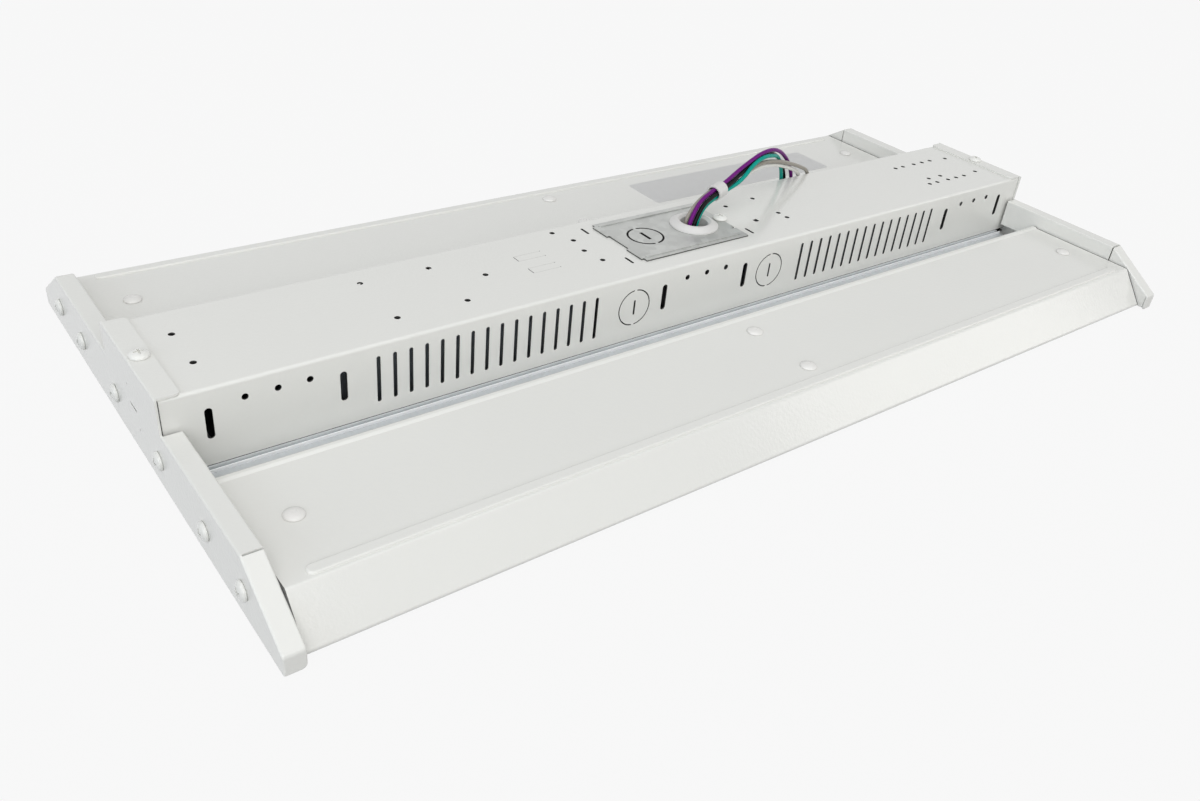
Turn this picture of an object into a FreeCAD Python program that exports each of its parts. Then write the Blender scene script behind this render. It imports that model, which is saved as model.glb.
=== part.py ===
import FreeCAD, Part

import math
import os

import Sketcher

# Linear LED high bay light, lying with its light openings down.
# X runs along the light, Y across it, Z up; the origin is under its middle, on the plane of its lower rims.
# Lengths are in millimetres and angles in degrees.

DRIVING_SIZES = [
    # Whole light, over its end caps
    ("light_length", 621.0, "outer face to outer face of the end caps"),
    ("light_width", 322.0, "tip to tip of an end cap"),
    # End caps
    ("cap_sheet", 1.0, "end cap steel"),
    ("cap_tip_height", 10.0, "height of the upright flange at each tip"),
    ("cap_shoulder_rise", 9.8, "panel of a wing up to the level flange over it"),
    ("cap_shoulder_inset", 35.0, "tip of an end cap to where its level flange starts to slope"),
    ("cap_flange_depth", 9.5, "depth of the flange over a wing"),
    ("cap_top_flange_depth", 11.3, "depth of the flange over the housing"),
    ("cap_relief", 0.9, "width of the relief cut between two flanges"),
    ("cap_corner", 2.6, "free corner of a tip flange and of the top flange"),
    ("cap_bend", 0.95, "outer radius of the bends of an end cap"),
    ("cap_tip_bend", 2.6, "outer radius of the bend over each tip"),
    ("return_step", 14.2, "height of the lower edge of a return beside the housing"),
    ("return_step_inset", 3.5, "upright wall of a wing to the step in that edge"),
    ("return_foot", 1.5, "height of the lower edge of a return under a wing"),
    ("return_bend", 0.8, "outer radius of the bend over a return"),
    ("return_play", 0.4, "gap between a return and the tip flange"),
    ("cap_knockout_drop", 24.0, "housing top to the middle of an end cap's knockout"),
    ("cap_knockout_gap", 1.2, "diameter of the two open gaps in its slit"),
    ("cap_gap_across", 0.48, "place of a gap across, as a share of the slit's radius"),
    ("cap_gap_up", 0.86, "place of a gap upwards, as a share of the slit's radius"),
    # Driver housing
    ("housing_end_play", 0.3, "gap between the end of the housing and an end cap"),
    ("housing_width", 73.9, "width of the folded housing"),
    ("housing_top", 49.0, "height of the housing's top face"),
    ("housing_sheet", 0.9, "housing steel"),
    ("housing_bend", 1.6, "outer radius of the housing's bends"),
    ("housing_foot", 9.0, "width of the inturned feet"),
    ("housing_end_flange", 13.0, "width of the inturned end flanges"),
    # Pan with its two wings
    ("pan_end_play", 0.3, "gap between the end of the pan and an end cap's returns"),
    ("pan_sheet", 0.8, "pan steel"),
    ("skirt_inset", 3.0, "tip of an end cap to the foot of a skirt"),
    ("pan_foot", 0.8, "height of the underside of the skirts"),
    ("pan_panel_top", 22.7, "height of the flat panels"),
    ("channel_width", 27.05, "side of the housing to the upright wall of a wing"),
    ("pan_floor_top", 7.2, "height of the floor between the wings"),
    ("pan_ledge", 8.0, "width of the ledge that carries a lens"),
    ("pan_bend", 1.6, "outer radius of the pan's bends"),
    ("skirt_angle", 51.8, "slope of the skirts"),
    ("bead_width", 6.0, "width of a stiffening bead"),
    ("bead_height", 1.0, "height of a stiffening bead"),
    ("bead_round", 0.9, "radius of a bead's upper edges"),
    ("bead_end", 11.0, "end of the pan to the end of a bead"),
    ("bead_inset", 4.6, "edge of a panel to the middle of a bead"),
    ("pan_tab_drop", 13.0, "drop of the end tabs under a panel"),
    ("pan_tab_margin", 11.0, "face screw to the side edge of an end tab"),
    ("lip_crest", 0.8, "rise of the panel's inner edge over the panel"),
    ("lip_crest_width", 3.0, "width of that raised edge"),
    # Gear tray under the housing
    ("tray_end", 17.7, "end of the pan to the end of the gear tray"),
    ("tray_margin", 11.05, "side of the housing to the edge of the gear tray"),
    ("tray_sheet", 0.8, "gear tray steel"),
    ("tray_rib", 1.2, "height of the rib beside the housing's foot"),
    ("tray_rib_width", 1.6, "width of that rib"),
    # Cut-outs of the housing's side walls
    ("vent_count", 16, "vents in a row"),
    ("vent_margin", 17.8, "last vent to the hanger slot beyond it"),
    ("vent_first", 79.9, "middle to the first vent"),
    ("vent_drop", 19.4, "top face to the middle of a vent"),
    ("vent_length", 25.5, "length of a vent"),
    ("vent_width", 2.1, "width of a vent"),
    ("knockout_place", 53.0, "middle to a side knockout"),
    ("knockout_drop", 19.3, "top face to the middle of a side knockout"),
    ("knockout_radius", 11.1, "outer radius of a knockout's slit"),
    ("knockout_slit", 0.7, "width of a knockout's slit"),
    ("knockout_bridge", 1.8, "width of the bridges that hold a knockout"),
    ("pry_length", 9.2, "length of a pry slot"),
    ("pry_width", 1.3, "width of a pry slot"),
    ("hanger_slot_length", 15.9, "length of a hanger slot"),
    ("hanger_slot_width", 3.5, "width of a hanger slot"),
    ("hanger_slot_drop", 17.9, "top face to the middle of a hanger slot"),
    ("hanger_slot_inner", 31.5, "middle to the inner hanger slots"),
    ("hanger_slot_middle", 82.5, "end of the housing to the middle hanger slots"),
    ("hanger_slot_outer", 20.0, "end of the housing to the outer hanger slots"),
    ("side_hole", 3.2, "diameter of the small side holes"),
    ("side_hole_drop", 9.1, "top face to the small side holes"),
    ("side_hole_pitch", 15.0, "pitch of the small side holes"),
    ("side_hole_outer", 51.4, "end of the housing to the middle of the outer three"),
    # Cut-outs of the housing's top face
    ("top_hole", 3.2, "diameter of the small top holes"),
    ("top_slot_length", 8.0, "length of the slots beside the access plate"),
    ("top_slot_width", 1.6, "width of those slots"),
    ("square_hole_x", 64.5, "middle of the light to its square hole"),
    ("square_hole_y", -8.8, "middle of the light across to its square hole"),
    # Access plate
    ("plate_length", 81.0, "access plate along the light"),
    ("plate_width", 52.4, "access plate across the light"),
    ("plate_sheet", 1.0, "access plate steel"),
    ("plate_x", 2.2, "middle of the access plate along the light"),
    ("plate_y", 1.6, "middle of the access plate across the light"),
    ("plate_lap", 6.0, "lap of the plate round the opening under it"),
    ("plate_knockout", 19.0, "middle of the plate to its knockout and to its bushing"),
    ("plate_rib_inset", 3.6, "edge of the plate to its pressed rib"),
    ("plate_rib_width", 2.2, "width of the pressed rib"),
    ("plate_rib_height", 0.6, "height of the pressed rib"),
    ("plate_notch_width", 14.0, "width of a tongue gap on a short edge"),
    ("plate_notch_depth", 1.8, "depth of a tongue gap on a short edge"),
    ("plate_corner", 2.8, "corner of the plate to a tongue gap"),
    ("plate_nick", 2.0, "width of a nick in the right edge"),
    ("plate_nick_place", 14.2, "middle of the plate to a nick"),
    # Bushing and wires
    ("bushing_bore", 17.0, "bore of the bushing"),
    ("bushing_flange", 30.0, "diameter of the bushing's flange"),
    ("bushing_height", 3.4, "height of the bushing's flange"),
    ("bushing_neck", 21.8, "diameter of the bushing's neck"),
    ("bushing_depth", 6.0, "length of the neck under the plate"),
    ("bushing_taper", 1.0, "taper of the neck's lower end"),
    ("bushing_barb", 0.7, "barb of the neck under the housing's sheet"),
    ("bushing_barb_height", 1.2, "height of that barb"),
    ("bushing_barb_play", 0.4, "gap over that barb"),
    ("bushing_rim", 0.9, "thickness of the flange at its rim"),
    ("bushing_crown_width", 3.2, "width of the flange's sloping crown"),
    ("bushing_crown_drop", 0.5, "fall of that crown before its outer edge"),
    ("bushing_mouth", 1.6, "depth of the rounded mouth of the bore"),
    ("wire_diameter", 2.6, "wire over its insulation"),
    ("sleeve_length", 9.0, "length of the sleeve round the wires"),
    ("sleeve_bore", 8.2, "bore of the sleeve"),
    ("sleeve_wall", 0.8, "wall of the sleeve"),
    # Screws
    ("screw_head", 9.2, "diameter of a screw head"),
    ("screw_head_height", 2.6, "height of a screw head"),
    ("screw_shank", 4.0, "diameter of a screw shank"),
    ("screw_clearance", 0.2, "hole over shank"),
    ("screw_recess", 5.0, "span of the cross recess"),
    ("screw_recess_slot", 1.0, "width of the cross recess"),
    ("screw_recess_depth", 1.4, "depth of the cross recess"),
    ("screw_rim", 1.04, "thickness of a screw head at its rim"),
    ("screw_tip", 0.4, "radius of a screw's point"),
    ("face_screw_length", 13.0, "shank of the screws in an end cap's face"),
    ("driver_screw_length", 3.0, "shank of the screws in a driver's feet"),
    ("short_screw_length", 5.0, "shank of the screws in the housing, the plate and the rail"),
    ("face_screw_height", 15.0, "height of the screws in an end cap's face"),
    ("face_screw_inner", 5.95, "side of the housing to the inner face screws"),
    ("face_screw_middle", 21.5, "upright wall of a wing to the middle face screws"),
    ("face_screw_outer", 35.5, "tip of an end cap to its outer face screws"),
    ("top_screw_inset", 6.0, "outer face of an end cap to its top screw"),
    # Light boards, rivets and lenses
    ("board_end", 14.7, "end of the pan to the end of a light board"),
    ("board_inner_margin", 12.7, "upright wall of a wing to the edge of its board"),
    ("board_outer_margin", 12.07, "outer edge of a panel to the edge of its board"),
    ("board_thickness", 1.6, "thickness of a light board"),
    ("diode_count", 36, "diodes in a row"),
    ("diode_end", 14.75, "end of a board to its first diodes"),
    ("diode_row", 11.0, "middle of a board to a row of diodes"),
    ("diode_size", 3.2, "side of a diode"),
    ("diode_height", 0.7, "height of a diode"),
    ("rivet_head", 9.4, "diameter of a push rivet's head"),
    ("rivet_height", 2.0, "height of a push rivet's head"),
    ("rivet_shank", 4.0, "diameter of a push rivet's shank"),
    ("rivet_length", 3.0, "length of a push rivet under its head"),
    ("rivet_rim", 0.6, "thickness of a push rivet's head at its rim"),
    ("rivet_tip", 1.2, "radius of a push rivet's end"),
    ("rivet_end", 6.0, "end of a board to its end rivet"),
    ("rivet_edge", 5.0, "edge of a board to its rivets at mid length"),
    ("lens_end", 1.2, "end of the pan to the end of a lens"),
    ("lens_thickness", 2.0, "thickness of a lens"),
    ("lens_play", 1.6, "gap between a lens and the sheet beside it"),
    # Rail between the lenses
    ("rail_sheet", 0.8, "rail steel"),
    ("rail_inset", 5.0, "upright wall of a wing to the rail's leg"),
    ("rail_brim", 8.0, "width of the brim that carries a lens"),
    ("rail_screw_inset", 20.0, "end of the gear tray to the rail's outer screws"),
    ("rail_screw_across", 20.0, "middle of the light across to the rail's screws"),
    # Drivers
    ("driver_start", 52.0, "middle of the light to the near end of a driver"),
    ("driver_end", 46.0, "far end of a driver to the end of the gear tray"),
    ("driver_side_play", 0.95, "gap between a driver and the housing's foot"),
    ("driver_height", 30.0, "height of a driver's can"),
    ("driver_foot", 10.0, "length of a driver's mounting foot"),
    ("driver_foot_width", 26.0, "width of a driver's mounting foot"),
    ("driver_foot_sheet", 1.2, "thickness of a driver's mounting foot"),
    ("driver_corner", 1.5, "edge radius of a driver's can"),
    # Clearances
    ("lay_gap", 0.05, "play between sheets that lie on each other"),
]

document = FreeCAD.newDocument("HighBayLight")
sheet = document.addObject("Spreadsheet::Sheet", "Sizes")
for row, (alias, number, meaning) in enumerate(DRIVING_SIZES, start=1):
    sheet.set(f"A{row}", meaning)
    sheet.set(f"B{row}", str(number))
    sheet.setAlias(f"B{row}", alias)
document.recompute()


class Size:
    """A size with its number now and the formula that binds it to the sheet."""

    def __init__(self, number, formula):
        self.number = float(number)
        self.formula = formula

    def __add__(self, other):
        other = as_size(other)
        return Size(self.number + other.number, f"({self.formula} + {other.formula})")

    def __radd__(self, other):
        return as_size(other) + self

    def __sub__(self, other):
        other = as_size(other)
        return Size(self.number - other.number, f"({self.formula} - {other.formula})")

    def __rsub__(self, other):
        return as_size(other) - self

    def __mul__(self, other):
        other = as_size(other)
        return Size(self.number * other.number, f"({self.formula} * {other.formula})")

    def __rmul__(self, other):
        return as_size(other) * self

    def __truediv__(self, other):
        other = as_size(other)
        return Size(self.number / other.number, f"({self.formula} / {other.formula})")

    def __neg__(self):
        return Size(-self.number, f"(0 - {self.formula})")


def as_size(value):
    if isinstance(value, Size):
        return value
    return Size(value, f"({value})")


def cell(alias):
    return Size(getattr(sheet, alias), f"Sizes.{alias}")


def tangent(angle):
    return Size(math.tan(math.radians(angle.number)), f"tan({angle.formula} * 1deg)")


def sine(angle):
    return Size(math.sin(math.radians(angle.number)), f"sin({angle.formula} * 1deg)")


def root(value):
    return Size(math.sqrt(value.number), f"sqrt({value.formula})")


def bind(target, name, size):
    """Sets a property of an object and binds it to the sheet."""
    target.setExpression(name, as_size(size).formula)


# Bodies, sketches and features

def new_body(label):
    body = document.addObject("PartDesign::Body", label)
    body.Label = label
    return body


def new_sketch(body, role, lift=0):
    """A sketch on one of the body's own origin planes, lifted along that plane's normal."""
    sketch = body.newObject("Sketcher::SketchObject", f"{body.Label}_sketch")
    plane = [feature for feature in body.Origin.OriginFeatures if feature.Role == role][0]
    sketch.AttachmentSupport = [(plane, "")]
    sketch.MapMode = "FlatFace"
    bind(sketch, ".AttachmentOffset.Base.z", lift)
    return sketch


def fix(sketch, kind, geometry, point, size):
    """Places one coordinate of a point, bound to the sheet."""
    size = as_size(size)
    number = sketch.addConstraint(Sketcher.Constraint(kind, geometry, point, size.number))
    sketch.setExpression(f"Constraints[{number}]", size.formula)


def measure(sketch, kind, geometry, size):
    size = as_size(size)
    number = sketch.addConstraint(Sketcher.Constraint(kind, geometry, size.number))
    sketch.setExpression(f"Constraints[{number}]", size.formula)


def flat(horizontal, vertical):
    return FreeCAD.Vector(as_size(horizontal).number, as_size(vertical).number, 0)


def draw_outline(sketch, corners):
    """A closed outline of straight lines through the corners."""
    count = len(corners)
    lines = [
        sketch.addGeometry(Part.LineSegment(flat(*corners[i]), flat(*corners[(i + 1) % count])), False)
        for i in range(count)
    ]
    for i in range(count):
        sketch.addConstraint(Sketcher.Constraint("Coincident", lines[i], 2, lines[(i + 1) % count], 1))
        fix(sketch, "DistanceX", lines[i], 1, corners[i][0])
        fix(sketch, "DistanceY", lines[i], 1, corners[i][1])


def draw_box(sketch, x_low, y_low, x_high, y_high):
    draw_outline(sketch, [(x_low, y_low), (x_high, y_low), (x_high, y_high), (x_low, y_high)])


def draw_circle(sketch, x, y, diameter):
    radius = as_size(diameter) / 2
    circle = sketch.addGeometry(Part.Circle(flat(x, y), FreeCAD.Vector(0, 0, 1), radius.number), False)
    fix(sketch, "DistanceX", circle, 3, x)
    fix(sketch, "DistanceY", circle, 3, y)
    measure(sketch, "Radius", circle, radius)


def draw_slot(sketch, x, y, length, width, upright=True):
    """A slot with round ends, upright or level."""
    radius = as_size(width) / 2
    reach = (as_size(length) - width) / 2
    if upright:
        ends = [(x, y - reach), (x, y + reach)]
        side, turn = (radius, 0), math.pi
    else:
        ends = [(x - reach, y), (x + reach, y)]
        side, turn = (0, radius), math.pi / 2
    lines = []
    for sign in (-1, 1):
        start = (ends[0][0] + sign * as_size(side[0]), ends[0][1] + sign * as_size(side[1]))
        stop = (ends[1][0] + sign * as_size(side[0]), ends[1][1] + sign * as_size(side[1]))
        line = sketch.addGeometry(Part.LineSegment(flat(*start), flat(*stop)), False)
        for point, place in ((1, start), (2, stop)):
            fix(sketch, "DistanceX", line, point, place[0])
            fix(sketch, "DistanceY", line, point, place[1])
        lines.append(line)
    across = "DistanceY" if upright else "DistanceX"
    for index, end in enumerate(ends):
        start_angle = turn if index == 0 else turn + math.pi
        circle = Part.Circle(flat(*end), FreeCAD.Vector(0, 0, 1), radius.number)
        arc = sketch.addGeometry(Part.ArcOfCircle(circle, start_angle, start_angle + math.pi), False)
        # The lower or left arc runs anticlockwise from one line to the other.
        first, second = (lines[0], lines[1]) if upright == (index == 0) else (lines[1], lines[0])
        sketch.addConstraint(Sketcher.Constraint("Coincident", arc, 1, first, index + 1))
        sketch.addConstraint(Sketcher.Constraint("Coincident", arc, 2, second, index + 1))
        fix(sketch, across, arc, 3, end[1] if upright else end[0])


def draw_half_ring(sketch, x, y, outer, slit, bridge, side):
    """One half of a knockout's slit, on the side of +1 or -1, between an upper and a lower bridge."""
    inner = as_size(outer) - slit
    half = as_size(bridge) / 2
    arcs = []
    for radius in (as_size(outer), inner):
        tilt = math.asin(half.number / radius.number)
        start = -math.pi / 2 + tilt if side > 0 else math.pi / 2 + tilt
        circle = Part.Circle(flat(x, y), FreeCAD.Vector(0, 0, 1), radius.number)
        arc = sketch.addGeometry(Part.ArcOfCircle(circle, start, start + math.pi - 2 * tilt), False)
        measure(sketch, "Radius", arc, radius)
        arcs.append(arc)
    fix(sketch, "DistanceX", arcs[0], 3, x)
    fix(sketch, "DistanceY", arcs[0], 3, y)
    sketch.addConstraint(Sketcher.Constraint("Coincident", arcs[1], 3, arcs[0], 3))
    for point in (1, 2):
        fix(sketch, "DistanceX", arcs[0], point, x + side * half)
        places = [sketch.getPoint(arc, point) for arc in arcs]
        line = sketch.addGeometry(Part.LineSegment(places[0], places[1]), False)
        sketch.addConstraint(Sketcher.Constraint("Coincident", line, 1, arcs[0], point))
        sketch.addConstraint(Sketcher.Constraint("Coincident", line, 2, arcs[1], point))
        sketch.addConstraint(Sketcher.Constraint("Vertical", line))


def draw_knockout(sketch, x, y):
    for side in (-1, 1):
        sizes = cell("knockout_radius"), cell("knockout_slit"), cell("knockout_bridge")
        draw_half_ring(sketch, x, y, *sizes, side)


def volume_of(body):
    return body.Shape.Volume if not body.Shape.isNull() else 0.0


def pad(body, sketch, length, both=False, reverse=False):
    feature = body.newObject("PartDesign::Pad", f"{body.Label}_pad")
    feature.Profile = sketch
    bind(feature, "Length", length)
    if both:
        feature.SideType = "Symmetric"
    feature.Reversed = reverse
    document.recompute()
    return feature


def pocket(body, sketch, depth=None, both=False, reverse=False):
    """Cuts the sketch out of the body, through everything where no depth is given."""
    before = volume_of(body)
    feature = body.newObject("PartDesign::Pocket", f"{body.Label}_pocket")
    feature.Profile = sketch
    if depth is None:
        feature.Type = "ThroughAll"
    else:
        bind(feature, "Length", depth)
    if both:
        feature.SideType = "Symmetric"
    feature.Reversed = reverse
    document.recompute()
    if volume_of(body) > before - 1e-6:
        raise RuntimeError(f"{body.Label}: a pocket cut nothing")
    return feature


def row_of(body, feature, role, count, pitch, backwards=False):
    """Repeats a feature along one of the body's own axes."""
    before = volume_of(body)
    pattern = body.newObject("PartDesign::LinearPattern", f"{body.Label}_row")
    pattern.Originals = [feature]
    axis = [part for part in body.Origin.OriginFeatures if part.Role == role][0]
    pattern.Direction = (axis, [""])
    pattern.Reversed = backwards
    bind(pattern, "Length", (count - 1) * pitch)
    bind(pattern, "Occurrences", count)
    body.Tip = pattern
    document.recompute()
    if abs(volume_of(body) - before) < 1e-6:
        raise RuntimeError(f"{body.Label}: a row repeats nothing")
    return pattern


def mirror(body, feature, role):
    """Repeats a feature on the other side of one of the body's own planes."""
    before = volume_of(body)
    twin = body.newObject("PartDesign::Mirrored", f"{body.Label}_mirrored")
    twin.Originals = [feature]
    plane = [part for part in body.Origin.OriginFeatures if part.Role == role][0]
    twin.MirrorPlane = (plane, [""])
    body.Tip = twin
    document.recompute()
    if abs(volume_of(body) - before) < 1e-6:
        raise RuntimeError(f"{body.Label}: a mirror repeats nothing")
    return twin


def edges_along(body, direction, places):
    """Names of the body's straight edges that run along an axis through one of the places across it."""
    axis = "XYZ".index(direction)
    across = [i for i in range(3) if i != axis]
    found = []
    for number, edge in enumerate(body.Shape.Edges, start=1):
        if not isinstance(edge.Curve, (Part.Line, Part.LineSegment)):
            continue
        first, last = (vertex.Point for vertex in (edge.Vertexes[0], edge.Vertexes[-1]))
        if abs(first[across[0]] - last[across[0]]) > 1e-5 or abs(first[across[1]] - last[across[1]]) > 1e-5:
            continue
        for place in places:
            near = [abs(first[across[i]] - as_size(place[i]).number) < 1e-3 for i in range(2)]
            if all(near):
                found.append(f"Edge{number}")
    return found


def fillet(body, direction, places, radius):
    """Rounds the edges along an axis at the places across it."""
    names = edges_along(body, direction, places)
    if not names:
        raise RuntimeError(f"{body.Label}: no edge to round")
    return round_edges(body, names, radius)


def round_edges(body, names, radius):
    rounded = body.Tip
    feature = body.newObject("PartDesign::Fillet", f"{body.Label}_fillet")
    feature.Base = (rounded, names)
    bind(feature, "Radius", radius)
    document.recompute()
    if "Invalid" in feature.State or feature.Shape.isNull():
        raise RuntimeError(f"{body.Label}: {len(names)} edges can't be rounded")
    return feature


def mirror_places(places):
    """Places across the light with their twins on its other side."""
    return places + [(-as_size(y), z) for y, z in places]


# Sizes that follow from the driving ones

CAP_FACE = cell("light_length") / 2
CAP_TIP = cell("light_width") / 2
HALF_HOUSING = cell("housing_width") / 2
HOUSING_END = CAP_FACE - cell("cap_sheet") - cell("housing_end_play")
RETURN_FACE = CAP_FACE - cell("cap_flange_depth")
PAN_END = RETURN_FACE - cell("pan_end_play")
PAN_LIP = HALF_HOUSING + cell("channel_width")
SKIRT_FOOT = CAP_TIP - cell("skirt_inset")
HOUSING_FOOT_LEVEL = cell("pan_floor_top") + cell("tray_sheet") + 2 * cell("lay_gap")
PLATE_LEVEL = cell("housing_top") + cell("lay_gap")
SKIRT_RISE = cell("pan_panel_top") - cell("pan_foot")
SKIRT_TOP = SKIRT_FOOT - SKIRT_RISE / tangent(cell("skirt_angle"))
PANEL_UNDERSIDE = cell("pan_panel_top") - cell("pan_sheet")
FLOOR_UNDERSIDE = cell("pan_floor_top") - cell("pan_sheet")
LEDGE_TOP = cell("pan_foot") + cell("pan_sheet")
CAP_TOP = cell("housing_top") + cell("lay_gap") + cell("cap_sheet")
CAP_NECK = HALF_HOUSING + cell("cap_sheet")
SCREW_HOLE = cell("screw_shank") + cell("screw_clearance")
SHOULDER = CAP_TIP - cell("cap_shoulder_inset")
SHOULDER_HEIGHT = cell("pan_panel_top") + cell("cap_shoulder_rise")
SLOPE_RUN = CAP_TIP - SHOULDER
SLOPE_FALL = SHOULDER_HEIGHT - cell("cap_tip_height")
SLOPE_RATE = SLOPE_FALL / SLOPE_RUN
SLOPE_DROP = cell("cap_sheet") * root(SLOPE_RUN * SLOPE_RUN + SLOPE_FALL * SLOPE_FALL) / SLOPE_RUN
BUSHING_X = cell("plate_x") + cell("plate_knockout")
PLATE_TOP = PLATE_LEVEL + cell("plate_sheet")
TRAY_TOP = cell("pan_floor_top") + cell("lay_gap") + cell("tray_sheet")
TRAY_END = PAN_END - cell("tray_end")
FACE_SCREWS = [
    HALF_HOUSING - cell("face_screw_inner"),
    PAN_LIP + cell("face_screw_middle"),
    CAP_TIP - cell("face_screw_outer"),
]
HANGER_SLOTS = [
    cell("hanger_slot_inner"),
    HOUSING_END - cell("hanger_slot_middle"),
    HOUSING_END - cell("hanger_slot_outer"),
]
VENT_ROW = HANGER_SLOTS[1] - cell("vent_margin") - cell("vent_first")
VENT_PITCH = VENT_ROW / (cell("vent_count") - 1)
BOARD_END = PAN_END - cell("board_end")
BOARD_INNER = PAN_LIP + cell("board_inner_margin")
BOARD_OUTER = SKIRT_TOP - cell("board_outer_margin")
BOARD_MIDDLE = (BOARD_INNER + BOARD_OUTER) / 2
DIODE_PITCH = 2 * (BOARD_END - cell("diode_end")) / (cell("diode_count") - 1)
RAIL_LEG = PAN_LIP - cell("rail_inset")
DRIVER_STOP = TRAY_END - cell("driver_end")
DRIVER_LENGTH = DRIVER_STOP - cell("driver_start")
DRIVER_MIDDLE = (DRIVER_STOP + cell("driver_start")) / 2
DRIVER_SIDE = HALF_HOUSING - cell("housing_foot") - cell("driver_side_play")


def slope_height(y):
    """Height of the outer face of an end cap's sloping flange."""
    return SHOULDER_HEIGHT - (as_size(y) - SHOULDER) * SLOPE_RATE


# Driver housing: one folded sheet, open below

def make_housing():
    body = new_body("housing")
    half, wall = HALF_HOUSING, cell("housing_sheet")
    top, foot = cell("housing_top"), HOUSING_FOOT_LEVEL
    foot_edge = half - cell("housing_foot")
    section = new_sketch(body, "YZ_Plane")
    right = [(half, top), (half, foot), (foot_edge, foot), (foot_edge, foot + wall)]
    right.extend([(half - wall, foot + wall), (half - wall, top - wall)])
    draw_outline(section, right + [(-y, z) for y, z in reversed(right)])
    pad(body, section, 2 * HOUSING_END, both=True)
    bend = cell("housing_bend")
    fillet(body, "X", mirror_places([(half, top), (half, foot)]), bend)
    fillet(body, "X", mirror_places([(half - wall, top - wall), (half - wall, foot + wall)]), bend - wall)

    # End flanges, folded in from the side walls.
    for end in (-1, 1):
        flanges = new_sketch(body, "YZ_Plane", end * HOUSING_END)
        low, high = foot + 2 * wall, top - 2 * wall
        edge = half - cell("housing_end_flange")
        draw_box(flanges, edge, low, half, high)
        draw_box(flanges, -half, low, -edge, high)
        for side in (-1, 1):
            draw_circle(flanges, side * FACE_SCREWS[0], cell("face_screw_height"), SCREW_HOLE)
        pad(body, flanges, wall, reverse=end > 0)

    # Vents through both side walls, in a row on each side of the middle.
    for side in (-1, 1):
        vent = new_sketch(body, "XZ_Plane")
        place = side * cell("vent_first")
        draw_slot(vent, place, top - cell("vent_drop"), cell("vent_length"), cell("vent_width"))
        first = pocket(body, vent, both=True)
        row_of(body, first, "X_Axis", cell("vent_count"), VENT_PITCH, backwards=side < 0)

    # Knockouts, hanger slots and small holes through both side walls.
    knockout = new_sketch(body, "XZ_Plane")
    place, height = cell("knockout_place"), top - cell("knockout_drop")
    draw_knockout(knockout, place, height)
    draw_slot(knockout, place, height, cell("pry_length"), cell("pry_width"))
    mirror(body, pocket(body, knockout, both=True), "YZ_Plane")
    side_cuts = new_sketch(body, "XZ_Plane")
    slot_height = top - cell("hanger_slot_drop")
    for slot_x in HANGER_SLOTS:
        draw_slot(side_cuts, slot_x, slot_height, cell("hanger_slot_length"), cell("hanger_slot_width"))
    hole_height, pitch = top - cell("side_hole_drop"), cell("side_hole_pitch")
    outer_three = HOUSING_END - cell("side_hole_outer")
    for hole_x in (pitch, outer_three - pitch, outer_three, outer_three + pitch):
        draw_circle(side_cuts, hole_x, hole_height, cell("side_hole"))
    mirror(body, pocket(body, side_cuts, both=True), "YZ_Plane")
    middle_hole = new_sketch(body, "XZ_Plane")
    draw_circle(middle_hole, 0, hole_height, cell("side_hole"))
    pocket(body, middle_hole, both=True)

    # Opening under the access plate, and the holes and slots of the top face.
    top_cuts = new_sketch(body, "XY_Plane", top)
    opening_x = cell("plate_length") / 2 - cell("plate_lap")
    opening_y = cell("plate_width") / 2 - cell("plate_lap")
    plate_x, plate_y = cell("plate_x"), cell("plate_y")
    draw_box(top_cuts, plate_x - opening_x, plate_y - opening_y, plate_x + opening_x, plate_y + opening_y)
    sensor_holes = [(HOUSING_END - from_end, y) for from_end, y in SENSOR_HOLES]
    end_holes = [(side * (HOUSING_END - from_end), y) for from_end, y in END_HOLES for side in (-1, 1)]
    for x, y in TOP_HOLES + sensor_holes + end_holes:
        draw_circle(top_cuts, x, y, cell("top_hole"))
    for x, y in TOP_SLOTS:
        draw_slot(top_cuts, x, y, cell("top_slot_length"), cell("top_slot_width"))
    square_x, square_y, square = cell("square_hole_x"), cell("square_hole_y"), cell("top_hole") / 2
    draw_box(top_cuts, square_x - square, square_y - square, square_x + square, square_y + square)
    screw_x = CAP_FACE - cell("top_screw_inset")
    for side in (-1, 1):
        draw_circle(top_cuts, side * screw_x, 0, SCREW_HOLE)
    draw_circle(top_cuts, *plate_screw_place(), SCREW_HOLE)
    pocket(body, top_cuts, 2 * wall)
    return body


# Small holes of the top face, from the middle of the light: driver fixings and spare fixings.
TOP_HOLES = [
    (-189.3, -18.6), (-149.8, -18.6), (-189.3, 21.8), (-149.8, 21.8),
    (-126.6, 1.9), (-64.0, 30.3), (-58.3, 16.8), (-60.6, 2.9), (-58.2, -11.5),
    (61.5, 16.4), (87.7, 18.7), (87.0, -6.2), (87.2, -13.9),
]
# Those at both ends, and the cluster for a sensor at the right end, from the end of the housing.
END_HOLES = [(23.0, -14.0), (23.0, 14.0)]
SENSOR_HOLES = [
    (78.8, 15.9), (70.3, 15.9), (57.9, 15.9), (48.4, 15.9), (39.0, 15.9),
    (78.8, -15.9), (70.3, -15.9), (57.9, -15.9), (48.4, -15.9), (39.0, -15.9),
    (70.8, -8.5), (57.5, -8.5),
]
# Slots beside the access plate.
TOP_SLOTS = [(-44.7, 24.2), (-44.7, -18.6), (49.3, 24.2), (49.3, -18.8)]


# Access plate: galvanised, with a knockout, the bushing's hole and a pressed rib along each long edge

def plate_screw_place():
    """The screw that clamps the plate's right edge, half in a notch of that edge."""
    return cell("plate_x") + cell("plate_length") / 2 + cell("screw_clearance"), cell("plate_y")


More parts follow.
